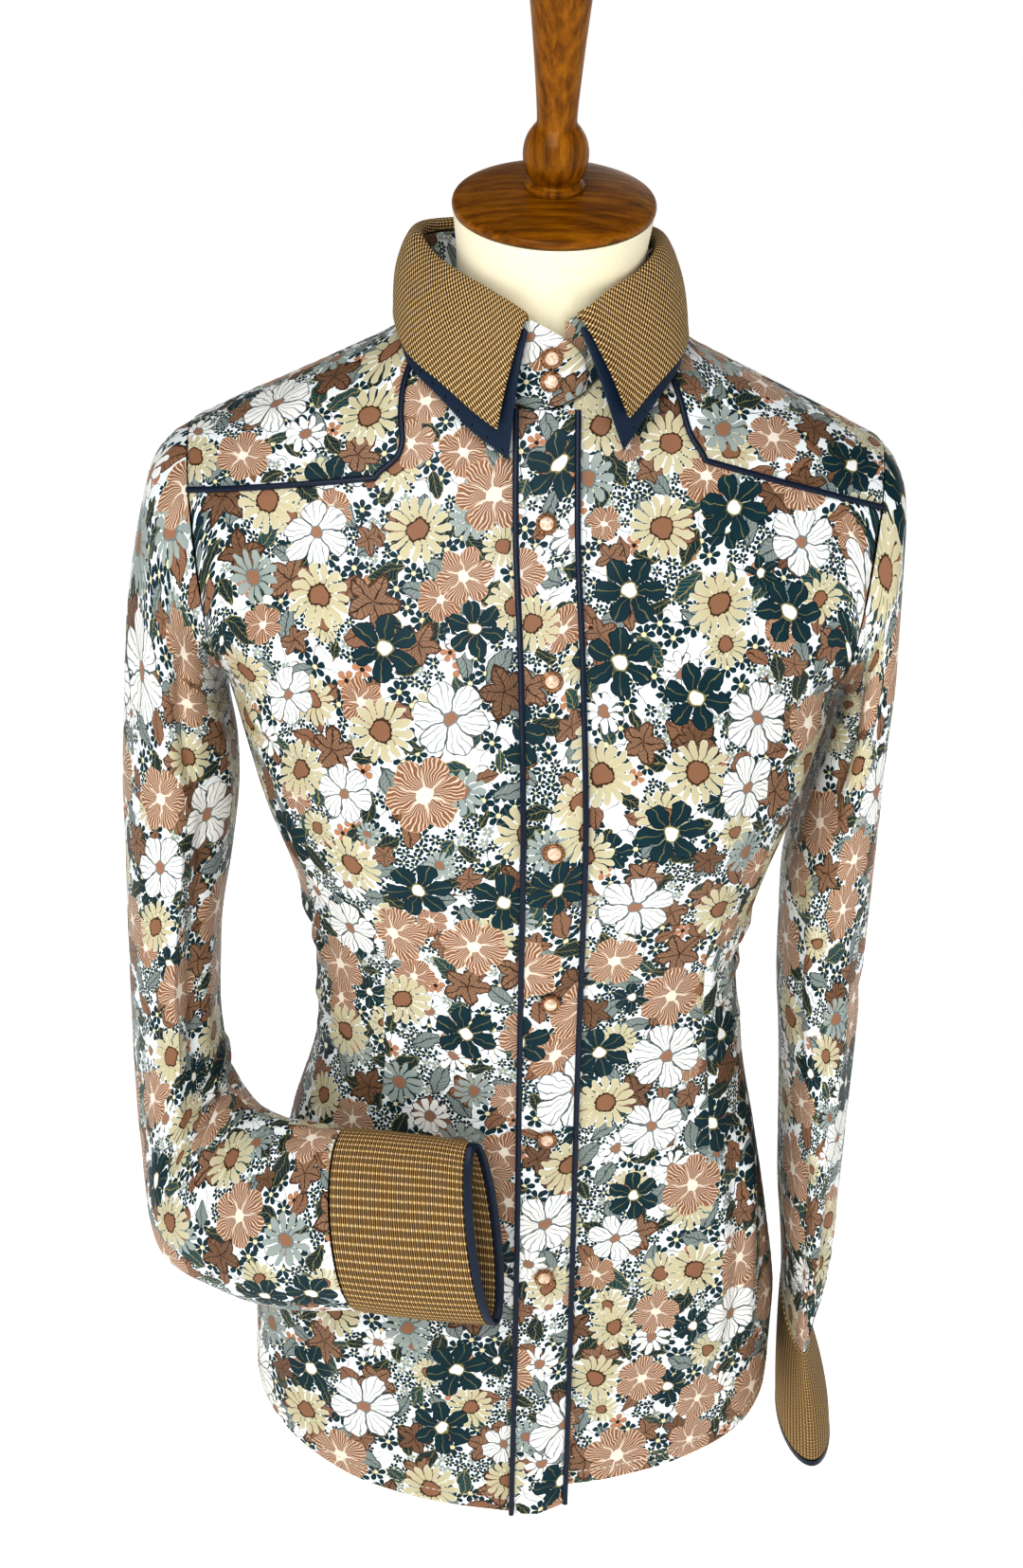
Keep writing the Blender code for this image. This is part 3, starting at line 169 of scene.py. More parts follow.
Relief = namedtuple("Relief", "x z across along lean height")
FRONT_RELIEF = table(Relief, "lean", [
    (-82, 470, 50, 58, 0, 8.5),     # bust cups
    (82, 470, 47, 58, 0, 8.5),
    (-105, 140, 13, 90, 6, 3),     # upright folds of the skirt below the waist
    (96, 150, 13, 90, -5, 3.5),
    (126, 200, 10, 60, -8, 3),
    (-50, 120, 15, 70, 3, 2),
    (50, 110, 16, 70, -3, 2),
])
BACK_RELIEF = table(Relief, "lean", [
    (-75, 560, 50, 60, 0, 5),     # shoulder blades
    (65, 560, 50, 60, 0, 5),
    (-90, 150, 15, 90, 5, 3.5),     # skirt folds
    (85, 150, 15, 90, -5, 3.5),
    (-30, 160, 14, 80, 2, 3),
    (28, 150, 14, 80, -2, 3),
])
Hem = namedtuple("Hem", "share right left")
HEM = table(Hem, "share", [
    (0, 18, 34), (0.28, 23.5, 39.5), (0.52, 33, 47), (0.75, 50, 56), (0.9, 67, 68), (1, 83, 83),
])
NECK_X, NECK_Y = -0.006, 0.019
NECK_HALF_WIDTH, NECK_FRONT, NECK_BACK = 0.0635, 0.058, 0.053
ARMHOLE_CENTRE_X = -0.0055
ARM_LOW_X, ARM_LOW_Z = 0.1675, 0.515
ARM_HIGH_X, ARM_HIGH_Z = 0.1855, 0.645
YOKE_NECK_ANGLE = math.radians(62)
YOKE_RISE = {-1: (-0.0745, 0.652), 1: (0.070, 0.664)}       # x and height on each side
YOKE_CORNER = {-1: (-0.088, 0.632), 1: (0.081, 0.644)}

# creases in the cloth, given in millimetres. On the body a place is the distance round from the
# middle (left side positive) and the height, on a sleeve the degrees round from the body side by the
# front and the distance down from the armhole. Below zero a crease is a trough, and bow curves it.
Crease = namedtuple("Crease", "a1 b1 a2 b2 half_width height bow")
FRONT_CREASES = [Crease(*row) for row in (
    # drag lines out of the right underarm
    (-172, 506, -122, 497, 5, 3.2, 3), (-176, 497, -118, 484, 4.5, -1.9, 4),
    (-166, 489, -108, 466, 6, 2, 5), (-160, 530, -134, 552, 7, 2.3, -3),
    (-153, 520, -120, 545, 5, -1.3, -4),
    # down the side from the bust
    (-140, 486, -124, 402, 7, 1.7, 6), (-150, 470, -139, 410, 4.5, -1.2, 3),
    # crumples at the right waist
    (-168, 391, -120, 380, 4, 2.6, 4), (-170, 377, -125, 368, 3.5, -1.5, 3),
    (-166, 362, -112, 352, 4.2, 2.3, -4), (-160, 346, -118, 343, 3.5, -1.3, 2),
    (-163, 331, -104, 328, 4.5, 2.2, 4), (-158, 316, -116, 320, 3.6, -1.2, 2),
    (-161, 300, -108, 312, 4.8, 1.7, -3),
    # long soft folds of the right skirt
    (-146, 268, -140, 110, 9, 2.6, 5), (-118, 240, -121, 72, 7.5, -1.5, -4),
    (-95, 190, -101, 60, 8.5, 1.7, 3), (-60, 170, -66, 50, 9, -0.9, 3), (-36, 215, -40, 60, 10, 0.8, -3),
    # drag lines out of the left underarm
    (176, 506, 120, 493, 5, 3, -4), (180, 496, 112, 476, 4.5, -1.7, -5), (172, 486, 116, 456, 6, 1.9, -4),
    (160, 532, 130, 556, 6.5, 2.2, 3), (150, 522, 112, 540, 5, -1.1, 4), (132, 470, 128, 400, 6, -1.1, 4),
    # line down from the left bust, past the dart
    (101, 440, 108, 300, 6.5, 1.9, -4),
    # crumples at the left waist
    (168, 385, 124, 372, 4, 2.3, -3), (170, 371, 130, 356, 3.6, -1.4, -3),
    (166, 352, 118, 345, 4.2, 2.2, 3), (160, 338, 122, 330, 3.4, -1.2, 2), (164, 322, 112, 318, 4.5, 2, -3),
    # long folds of the left skirt
    (112, 270, 117, 92, 7, 2.9, -5), (127, 262, 133, 82, 6, -1.9, -4), (146, 250, 149, 96, 7.5, 2.6, 4),
    (164, 236, 163, 120, 5.5, -1.5, 3), (86, 205, 94, 66, 7, -1.3, 3), (56, 190, 66, 62, 9, 1, 4),
    # faint pulls across the chest
    (-60, 628, -24, 560, 10, 0.9, 8), (52, 622, 22, 566, 9, 0.8, -7), (-20, 470, 22, 463, 12, -0.8, 2),
    (-118, 560, -60, 520, 12, -0.7, 6), (110, 570, 60, 528, 12, -0.7, -6),
)]
BACK_CREASES = [Crease(*row) for row in (
    (-178, 508, -120, 498, 5.5, 2, 4), (-176, 494, -112, 478, 5, -1.6, 4), (-168, 480, -98, 452, 7, 1.2, 6),
    (176, 506, 116, 496, 5, 1.9, -4), (180, 494, 118, 474, 5.5, -1.7, -4),
    (168, 476, 104, 456, 6.5, 1.3, -5),
    # cross folds in the hollow of the back
    (-150, 388, -84, 372, 6, 1.8, 5), (-146, 366, -62, 350, 5.5, -1.6, 5),
    (-138, 344, -52, 336, 7, 1.7, -5), (-120, 322, -66, 322, 5, -1.2, 3), (148, 384, 78, 368, 6, 1.7, -5),
    (150, 362, 66, 352, 5.5, -1.5, -5), (136, 340, 58, 334, 7, 1.5, 5), (-40, 356, 44, 350, 8, -1.1, 5),
    (-46, 334, 38, 330, 8, 1.2, -4),
    # long folds of the skirt
    (-128, 285, -136, 80, 8, 2, 6), (-104, 262, -112, 60, 7, -1.8, -4),
    (-60, 262, -66, 44, 9, 1.6, 4), (0, 250, 3, 36, 11, -1.3, 4), (58, 262, 66, 44, 9, 1.5, -4),
    (100, 270, 110, 62, 7.5, -1.8, 5), (134, 284, 140, 82, 8, 1.9, -5),
    # faint pulls between the shoulders
    (-92, 622, -46, 560, 12, 1, 8), (90, 618, 44, 566, 12, 0.9, -8),
)]
SLEEVE_CREASES_RIGHT = [Crease(*row) for row in (
    # folds of the sleeve's cap, the first a hollow beside the armhole
    (62, 16, 60, 150, 7, -4.2, 5), (92, 10, 78, 160, 8, 2.2, 4), (128, 20, 122, 120, 9, -1.5, 3),
    (150, 26, 158, 180, 11, 1.6, 4), (38, 60, 26, 180, 6, 2.2, -4), (10, 34, 2, 130, 6, -2, 3),
    # pressed ridge down the front of the arm
    (76, 110, 66, 378, 3.2, 3.2, 3), (94, 160, 86, 350, 8, -1.5, -3), (50, 90, 42, 350, 8, -4, 4),
    (22, 190, 28, 318, 6, 1.5, 3),
    # folds of the elbow's crook
    (352, 306, 40, 350, 4.5, 2.6, 3), (348, 322, 46, 372, 4, -2.8, 3), (350, 340, 62, 330, 4.5, 2.2, -4),
    (2, 356, 74, 396, 4.5, 1.9, 4), (8, 372, 60, 420, 4, -1.8, 4), (320, 318, 352, 344, 5, 2, 3),
    (300, 330, 344, 362, 4.5, -1.8, 3),
    # down the forearm
    (68, 372, 110, 460, 7, 1.3, -4),
    # gathers above the cuff
    (20, 410, 14, 470, 3.6, -2.2, 2), (38, 424, 34, 478, 3.4, 1.9, 2), (54, 430, 50, 480, 3, -1.7, 2),
    (100, 436, 97, 482, 3.6, -1.2, 2), (350, 430, 346, 482, 3.6, 1.6, 2),
    # outside of the elbow
    (150, 330, 196, 366, 6, -1.5, 4), (158, 372, 148, 452, 7, -1.2, 4),
    # the hidden side
    (222, 300, 262, 388, 6, 2, 4), (240, 280, 286, 352, 5, -2, 4), (250, 120, 262, 260, 8, 2, 4),
    (284, 60, 276, 200, 8, -2.2, 4), (210, 60, 216, 220, 10, -1.5, 4), (310, 30, 300, 150, 7, 2, 3),
    (280, 400, 276, 478, 4, -1.5, 2), (230, 420, 226, 480, 4, 1.4, 2),
)]
SLEEVE_CREASES_LEFT = [Crease(*row) for row in (
    (40, 18, 46, 140, 6, -3.6, 4), (66, 12, 68, 150, 7.5, 2.2, 4), (92, 14, 92, 110, 8, -1.6, 3),
    (122, 22, 116, 190, 10, 1.5, 4), (18, 50, 22, 170, 6, 2.2, 3), (352, 40, 356, 140, 6, -1.8, 3),
    (52, 150, 62, 320, 6, 2.2, 4), (78, 160, 84, 300, 7, -2, -4), (104, 190, 104, 330, 7, 1.8, 3),
    (128, 180, 136, 330, 8, -1.4, 4),
    # small folds in front of the elbow
    (26, 230, 40, 262, 4.5, 1.8, 2), (28, 252, 56, 276, 4, -1.6, 2), (24, 272, 60, 290, 4.5, 1.5, 3),
    (140, 236, 176, 262, 6, -1.4, 3),
    # down the forearm
    (60, 330, 52, 452, 6.5, -2.2, 4), (84, 326, 82, 450, 6, 1.8, 4),
    (108, 350, 104, 456, 5, -2, 3), (130, 360, 128, 458, 5, 1.7, 3),
    # gathers above the cuff
    (72, 420, 70, 466, 3.2, -1.5, 2), (96, 424, 95, 468, 3.2, 1.4, 2), (118, 428, 117, 468, 3.2, -1.5, 2),
    (146, 424, 145, 468, 3.6, 1.4, 2),
    # the hidden side
    (250, 120, 258, 280, 8, 2, 4), (280, 60, 276, 210, 8, -2.2, 4), (216, 60, 210, 220, 10, -1.5, 4),
    (306, 30, 300, 160, 7, 1.8, 3), (230, 300, 240, 440, 6, -1.8, 3), (266, 320, 262, 448, 6, 1.7, 3),
    (300, 240, 330, 268, 4.5, 1.8, 2), (296, 262, 336, 284, 4.5, -1.6, 2),
    (290, 420, 288, 466, 3.6, -1.4, 2),
)]

# -------- sleeves and cuffs
Ring = namedtuple("Ring", "in_x in_z out_x out_z mid_y half_depth turn")
SLEEVE_LEFT = table(Ring, "turn", [
    (165, 510, 191.5, 626, 12, 56, 0),
    (166, 504, 194, 580, 11, 58, 0),
    (164.5, 496, 194, 535, 10, 59, 0),
    (160.5, 480, 192.5, 490, 9, 59, 0),
    (152.5, 450, 191.5, 450, 8, 59, 0),
    (142.5, 400, 191, 400, 6, 58, 0),
    (142.5, 350, 190.5, 350, 4, 57, 0),
    (146.5, 300, 189.5, 300, 3, 56, 0),
    (150, 250, 188, 250, 2, 55, 0),
    (152.5, 200, 186.5, 200, 1, 54, 0),
    (157, 160, 184, 160, 0, 52, 0),
    (160, 130, 178, 130, 0, 51, 0),
    (161.5, 112, 174.5, 112, 0, 50, 0),
])
CUFF_LEFT = table(Ring, "turn", [
    (160.7, 111.5, 175.7, 111.5, 0, 50.7, 0),
    (160, 88, 183, 88, 0, 50.7, 0),
    (160.5, 62, 190.5, 62, 0, 50.7, 0),
    (162, 36, 194, 36, 0, 50.7, 0),
])
SLEEVE_RIGHT = table(Ring, "turn", [
    (-175.5, 510, -209, 630, 12, 56, 0),
    (-176, 504, -220, 590, 11, 58, 0),
    (-174.5, 496, -225.5, 540, 10, 59, 0),
    (-171.5, 480, -228.5, 490, 9, 59, 0),
    (-168, 450, -230.5, 450, 8, 58, 0),
    (-173, 400, -231.5, 400, 5, 57, 0),
    (-180, 350, -231, 350, 1, 55, 0),
    (-180.5, 310, -230, 300, -4, 53, 0),
    (-178, 284, -227.5, 255, -11, 50, 2),
    (-174, 272, -222, 217, -21, 46, 8),
    (-169, 268, -214, 188, -33, 41, 16),
    (-162, 268, -199, 168, -47, 36, 25),
    (-152, 270, -179, 158, -60, 31, 32),
    (-139, 273, -155, 155, -73, 27, 35),
    (-121, 276, -127, 158, -86, 23.5, 34),
    (-102, 280, -92, 166, -96, 20.5, 31),
])
CUFF_RIGHT = table(Ring, "turn", [
    (-101.2, 280.8, -91.2, 165.6, -96.4, 20.6, 31),
    (-77, 282.5, -66, 165.2, -101.5, 19, 29),
    (-53, 282.5, -40, 165.5, -105.5, 17, 28),
    (-32, 281, -17.5, 166.5, -109, 15, 27),
])
SleeveFold = namedtuple("SleeveFold", "share degrees half_share half_degrees height")
FOLDS_RIGHT = table(SleeveFold, "share degrees half_share half_degrees", [
    (0.6, 25, 0.035, 40, -4), (0.54, 40, 0.03, 40, 3), (0.67, 45, 0.03, 40, 3),
    (0.55, 130, 0.13, 20, -3.5), (0.35, 105, 0.09, 24, 3), (0.72, 160, 0.05, 30, 3),
    (0.84, 95, 0.05, 30, -2.5), (0.3, 290, 0.11, 28, 3),
])
FOLDS_LEFT = table(SleeveFold, "share degrees half_share half_degrees", [
    (0.5, 110, 0.12, 24, -3.5), (0.36, 140, 0.1, 24, 2.5), (0.72, 70, 0.1, 26, 2.5),
    (0.82, 120, 0.07, 26, -2.5), (0.55, 250, 0.12, 26, -3.5), (0.4, 300, 0.1, 28, 2.5),
])

# -------- collar and stand
Station = namedtuple("Station", "fold_x fold_y fold_z edge_x edge_y edge_z under lip")
COLLAR = table(Station, "lip", [
    (-12.5, -53.5, 716.5, -25, -58.5, 661, 12.5, 0.6),
    (-22, -50, 721.8, -38.5, -54.5, 669, 11, 0.6),
    (-34.5, -42.5, 727.5, -54.5, -45.5, 680.5, 8.5, 0.65),
    (-50, -29, 733.5, -71.5, -30, 691.5, 6.5, 0.8),
    (-64, -10, 740, -79, -11, 702.5, 5.5, 1),
    (-73, 12, 748, -81.5, 11, 709.5, 4.5, 1),
    (-72, 38, 750, -79, 40, 712, 4, 1),
    (-58, 60, 750, -64, 68, 709.5, 4.5, 1),
    (-34, 72, 750, -38, 84, 706, 5.5, 1),
    (-8, 75.5, 750, -8, 89, 705, 6, 1),
    (18, 72, 750, 22.5, 84, 706, 5.5, 1),
    (42, 60, 750, 48.5, 68, 709.5, 4.5, 1),
    (56.5, 38, 750, 63.5, 40, 711, 4, 1),
    (59, 12, 748, 69, 11, 709.5, 4.5, 1),
    (55, -11.5, 742.5, 70.5, -11, 701, 5.5, 1),
    (44, -29.5, 735, 65.5, -31, 693.5, 6.5, 0.8),
    (30, -43, 728, 53.5, -46.5, 682, 8.5, 0.65),
    (20.5, -50.5, 721.5, 43, -55, 671, 11, 0.6),
    (13.5, -53.5, 717.5, 38.5, -58, 668, 12.5, 0.6),
])
COLLAR_START = 0.04       # the share of the way from fold to edge at which the fall begins
COLLAR_BULGE = 0.0035
COLLAR_ROLL = 0.0056
COLLAR_THICK = 0.0009     # the check cloth stands this far proud of its solid, as two layers do
COLLAR_STAND_OFF = 0.0032           # how far the front edges stand off the undercollar
GRAIN_TURN = math.radians(30)       # how far the check turns down at the wings
UNDER_GAP = 0.0010
UNDER_START, UNDER_START_FRONT = 0.36, 0.12
PINKING = 0.0008          # half the depth of the zigzag cut along the undercollar's edge
PINKING_POINTS = 300
STAND_INSET, STAND_INSET_FRONT = 0.0036, 0.0062
STAND_DROP, STAND_DROP_FRONT = 0.0060, 0.0040
STAND_OVERLAP_X = 0.0175
STAND_COLUMNS, STAND_ROWS = 24, 3
STAND_BOW = 0.0010
STAND_FRONT_RADIUS = 0.0662
STAND_LAP = 0.0034
STAND_SNAPS = (0.6955, 0.6835)
STAND_SNAP_TURN = 0.285
EndRow = namedtuple("EndRow", "turn height")
STAND_END = [EndRow(0, 0.22), EndRow(0.030, 0.50), EndRow(0.105, 0.70), EndRow(0.225, 0.86),
             EndRow(0.390, 1)]

# -------- dress form
FormRing = namedtuple("FormRing", "z half_width front back centre_x centre_y square lean")
FORM = table(FormRing, "square lean", [
    (0, 72, 31, 60, 0, 0, 2.1, 0),
    (8, 84, 41, 69, 0, 0, 2.1, 0),
    (20, 98, 51, 79, -1, 0, 2.2, 0),
    (42, 118, 62.5, 92, -3, 0, 2.3, 0),
    (80, 139, 68.5, 103, -4, 0, 2.3, 0),
    (130, 145.5, 68, 105, -4, 0, 2.3, 0),
    (185, 139, 66.5, 96, -3, 0, 2.3, 0),
    (240, 127, 68, 80, -2.5, 0, 2.25, 0),
    (300, 114.5, 73.5, 66, 0, 0, 2.2, 0),
    (345, 111.5, 81, 62.5, -3, 0, 2.2, 0),
    (400, 121.5, 92, 68, -3, 0, 2.2, 0),
    (450, 137, 100, 78, -4, 0, 2.2, 0),
    (500, 149, 94, 86, -4, 2, 2.3, 0),
    (550, 154, 83, 87, -6, 8, 2.6, 0),
    (590, 160, 71, 83, -6.5, 12, 2.8, 0),
    (618, 162, 62, 74, -6.5, 15, 2.6, 0),
    (636, 150, 55, 66, -6.5, 17, 2.3, 0),
    (652, 124, 50, 59, -6, 18, 2.1, 0),
    (668, 90, 47.5, 54, -4.5, 18, 2, 2),
    (684, 62, 47, 50, -3, 15, 2, 5),
    (702, 49.5, 47.5, 50, -1.5, 10, 2, 9),
    (732, 48.5, 47.5, 50, -1, 3, 2, 14),
    (764, 51.5, 51.5, 51.5, 0, -5, 2, 17.6),
])
FORM_SIDES = 144
NECK_LEAN = math.radians(17.6)
Turned = namedtuple("Turned", "radius height")
CAP_PROFILE = table(Turned, "", [
    (48, 0), (51.5, 0.6), (52.2, 2), (51.8, 4), (50, 5.2), (42, 7.8), (30, 9.8), (19, 10.6),
])
FINIAL_PROFILE = table(Turned, "", [
    (15, 0), (15.2, 2.2), (13.4, 3.4), (12.8, 4.6), (14.8, 8), (16.2, 12.5), (16.7, 17.5), (16.2, 22.5),
    (14.7, 27), (12.2, 31), (10.4, 33.5), (10.1, 37), (10.8, 48), (12.2, 65), (13.9, 83), (15.8, 101),
    (17.2, 115), (17.6, 123), (16.8, 129), (13.5, 133.5), (7, 135.5),
])


# -------- small tools
def hermite(start, end, slope, next_slope, t):
    """Run smoothly from one value to the next, with a slope at each."""
    return (start * (1 + 2 * t) * (1 - t) ** 2 + slope * t * (1 - t) ** 2
            + end * t * t * (3 - 2 * t) - next_slope * t * t * (1 - t))


def reader(rows, keys=None, whole=()):
    """Return a function that reads a table's rows smoothly along its first column, or along keys.

    The slopes of the columns in whole are cut to whole numbers."""
    row_type, values = type(rows[0]), np.array(rows, float)
    keys = values[:, 0] if keys is None else keys
    rise = np.diff(values, axis=0) / np.diff(keys)[:, None]
    before, after = rise[:-1], rise[1:]
    same_way = before * after > 0
    middle = np.where(same_way, 2 * before * after / np.where(same_way, before + after, 1), 0)
    slopes = np.concatenate([rise[:1], middle, rise[-1:]])
    for name in whole:
        column = row_type._fields.index(name)
        slopes[:, column] = np.trunc(slopes[:, column])

    def read(query):
        query = np.clip(query, keys[0], keys[-1])
        i = np.clip(np.searchsorted(keys, query) - 1, 0, len(keys) - 2)
        step = np.asarray(keys[i + 1] - keys[i])[..., None]
        t = np.asarray(query - keys[i])[..., None] / step
        found = hermite(values[i], values[i + 1], step * slopes[i], step * slopes[i + 1], t)
        return row_type(*np.moveaxis(found, -1, 0))
    return read


def columns_of(rows, names):
    """Return the named columns of a table as an array, one row for each of its rows."""
    return np.array([[getattr(row, name) for name in names.split()] for row in rows])


def unit(vectors):
    """Scale vectors to length one."""
    return vectors / np.maximum(np.linalg.norm(vectors, axis=-1, keepdims=True), 1e-12)


def eased(share):
    """Hold a share between 0 and 1 and ease it in and out."""
    share = np.clip(share, 0, 1)
    return share * share * (3 - 2 * share)


def bell(distance, half_width):
    """Return a soft bell, one at no distance."""
    return np.exp(-(distance / half_width) ** 2)


def paired(across, up, offset=(0, 0)):
    """Pair distances across and up into places, moved by an offset."""
    return np.stack(np.broadcast_arrays(across, up), axis=-1) + np.array(offset)


def through(values, at, closed=False):
    """Read a smooth curve through rows of values at places counted in rows."""
    values, i = np.asarray(values, float), np.floor(at).astype(int)
    if closed:
        slopes = (np.roll(values, -1, axis=0) - np.roll(values, 1, axis=0)) / 2
    else:
        slopes, i = np.gradient(values, axis=0), np.clip(i, 0, len(values) - 2)
    t = (at - i).reshape((-1,) + (1,) * (values.ndim - 1))
    i, after = i % len(values), (i + 1) % len(values)
    return hermite(values[i], values[after], slopes[i], slopes[after], t)


def refined(grid, rows_at, columns_at, closed=False):
    """Read a coarse grid of points smoothly at finer rows and columns."""
    finer = through(grid, rows_at)
    return np.swapaxes(through(np.swapaxes(finer, 0, 1), columns_at, closed), 0, 1)


def fine_steps(count, factor, close_lines=(0.05, 0.12, 0.3)):
    """Return even steps through a count of cells, with closer lines along both borders."""
    near, even = np.array(close_lines), np.linspace(0, count, count * factor + 1)
    return np.unique(np.round(np.concatenate([even, near, count - near]), 6))


def grid_normals(grid, closed=False):
    """Return the normals of a grid of points, across by up."""
    if closed:
        across = np.roll(grid, -1, axis=1) - np.roll(grid, 1, axis=1)
    else:
        across = np.gradient(grid, axis=1)
    return unit(np.cross(across, np.gradient(grid, axis=0)))


def outward_normals(outer, inner, closed=False):
    """Return a grid's normals, turned away from what lies inside it."""
    normals = grid_normals(outer, closed)
    return normals * np.sign((normals * (outer - inner)).sum())


def lengths_along(grid, axis):
    """Return the length run along each line of a grid."""
    steps = np.linalg.norm(np.diff(grid, axis=axis), axis=2)
    start = np.zeros_like(np.take(steps, [0], axis=axis))
    return np.concatenate([start, np.cumsum(steps, axis=axis)], axis=axis)


def run_along(line):
    """Return the length run at each point of a line."""
    return lengths_along(line[:, None], 0)[:, 0]


def mean_girth(grid):
    """Return the mean length round a tube."""
    return np.linalg.norm(np.roll(grid, -1, axis=1) - grid, axis=2).sum(axis=1).mean()


def read_line(line, run, where):
    """Read the points of a line at lengths run along it."""
    return np.stack([np.interp(where, run, column) for column in line.T], axis=-1)


def corners(rows, columns, closed_rows=False, closed_columns=True):
    """Return the rows and the columns of a grid's faces, counted on past a closed border."""
    row, column = np.meshgrid(np.arange(rows - (not closed_rows)), np.arange(columns - (not closed_columns)),
                              indexing="ij")
    return row.reshape(-1, 1) + [0, 0, 1, 1], column.reshape(-1, 1) + [0, 1, 1, 0]


def select_only(thing):
    """Make one object the selected and active one."""
    bpy.ops.object.select_all(action="DESELECT")
    thing.select_set(True)
    bpy.context.view_layer.objects.active = thing


def settle(piece, slot, *nodes):
    """Let a piece ride on the root body and stand for CAD nodes; its finish slot is not used."""
    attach(piece, "root")
    if nodes:
        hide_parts(*nodes)


def add_mesh(name, points, faces, material, uv=None):
    """Make an object from points and faces, with its faces turned outwards."""
    mesh = bpy.data.meshes.new(name)
    mesh.from_pydata([tuple(point) for point in points], [], [tuple(face) for face in faces])
    if uv is not None:
        layer = mesh.uv_layers.new(name="UVMap")
        layer.data.foreach_set("uv", np.asarray(uv, float).ravel())
    shape = bmesh.new()
    shape.from_mesh(mesh)
    bmesh.ops.recalc_face_normals(shape, faces=shape.faces)
    shape.to_mesh(mesh)
    shape.free()
    mesh.materials.append(material)
    mesh.shade_smooth()
    mesh.set_sharp_from_angle(angle=math.radians(50))
    piece = bpy.data.objects.new(name, mesh)
    bpy.context.collection.objects.link(piece)
    return piece


def declare_cloth(piece):
    """Read the flat chart of a piece's cloth from its UV map; nothing is done with what is read."""
    layer = piece.data.uv_layers["UVMap"].data
    uv = np.empty(len(layer) * 2)
    layer.foreach_get("uv", uv)


def add_cloth(node, slot, material, outer, inner, uv, closed=False, cuts=None):
    """Make the cloth over a CAD node from its two faces, which share their border and so round off there.

    uv gives each point's place on the flat cloth, with one column more than the faces on a tube.
    cuts shifts the print past a dart: a shift for each row and each column of faces."""
    rows, columns = outer.shape[:2]
    border = np.ones((rows, columns), bool)
    border[1:-1, slice(None) if closed else slice(1, -1)] = False
    outer = np.where(border[..., None], (outer + inner) / 2, outer)
    numbers = np.arange(rows * columns).reshape(rows, columns)
    inside = numbers.copy()
    inside[~border] = rows * columns + np.arange((~border).sum())
    corner_rows, uv_columns = corners(rows, columns, closed_columns=closed)
    corner_columns = uv_columns % columns
    flat = uv[corner_rows, uv_columns]
    if cuts is not None:
        flat[..., 0] += cuts[corner_rows, uv_columns[:, :1]]
    faces = np.concatenate([numbers[corner_rows, corner_columns],
                            inside[corner_rows, corner_columns][:, ::-1]])
    points = np.concatenate([outer.reshape(-1, 3), inner[~border]])
    piece = add_mesh(node + "_cloth", points, faces, material, np.concatenate([flat, flat[:, ::-1]]))
    settle(piece, slot, node)
    declare_cloth(piece)


def add_bar(name, rings, material):
    """Make a solid bar through rings of points, its ends closed by their own middles."""
    rings = np.asarray(rings)
    count, sides = rings.shape[:2]
    rows, columns = corners(count, sides)
    faces = (rows * sides + columns % sides).tolist()
    uv = paired(columns * MM, run_along(rings.mean(axis=1))[rows]).reshape(-1, 2).tolist()
    for first, hub in ((0, count * sides), ((count - 1) * sides, count * sides + 1)):
        faces += [(first + side, first + (side + 1) % sides, hub) for side in range(sides)]
        uv += [(0, 0), (MM, 0), (0, MM)] * sides
    points = np.concatenate([rings.reshape(-1, 3), rings[[0, -1]].mean(axis=1)])
    return add_mesh(name, points, faces, material, uv)


def creased(across, up, creases, round_length=None):
    """Return how far the creases raise the cloth at places in metres.

    On a tube their first number is in degrees, and round_length is the length round it."""
    height = np.zeros(np.broadcast(across, up).shape)
    scale = MM if round_length is None else round_length / 360
    turns = (0,) if round_length is None else (-round_length, 0, round_length)
    for row in creases:
        start = np.array([row.a1 * scale, row.b1 * MM])
        end_across = row.a2 * scale
        if round_length is not None and abs(row.a2 - row.a1) > 180:
            end_across += math.copysign(round_length, row.a1 - row.a2)
        run = np.array([end_across, row.b2 * MM]) - start
        length = np.hypot(*run)
        way = run / length
        for turn in turns:
            dx, dz = across - start[0] - turn, up - start[1]
            share = (dx * way[0] + dz * way[1]) / length
            inside = np.clip(share, 0, 1)
            off = dx * way[1] - dz * way[0] - 4 * row.bow * MM * inside * (1 - inside)
            fade = eased(np.clip(share / 0.3, 0, 1) * np.clip((1 - share) / 0.3, 0, 1))
            height += row.height * MM * fade * bell(off, row.half_width * MM)
    return height


# -------- the body surface
# A place on it is a pair: the share of the way round from the middle (0) to the side (-1 on the
# wearer's right, +1 on the left) and the height. Front and back are two such charts, and the length
# round from the middle in place of the share makes a chart in metres.
section_at, middle_at, hem_at = reader(SHIRT), reader(MIDDLE), reader(HEM)
QUARTER = np.linspace(0, math.pi / 2, 49)
LATTICE_TOP, LATTICE_ROWS, LATTICE_COLUMNS = 0.731, 950, 161
RELIEF_FADE, CREASE_FADE = 0.15, 0.04       # shares of the way round over which they fade at the sides


def quarter_outline(heights, back):
    """Return a quarter of each level section, middle to side, the length along it and the sections."""
    section = section_at(heights[:, None])
    depth, square = section.back if back else section.front, section.square
    sine, cosine = np.sin(QUARTER), np.cos(QUARTER)
    reach = ((sine / section.half_width) ** square + (cosine / depth) ** square) ** (-1 / square)
    x, y = reach * sine, reach * cosine
    length = np.cumsum(np.hypot(np.diff(x, prepend=x[:, :1]), np.diff(y, prepend=y[:, :1])), axis=1)
    return x, y, length, section


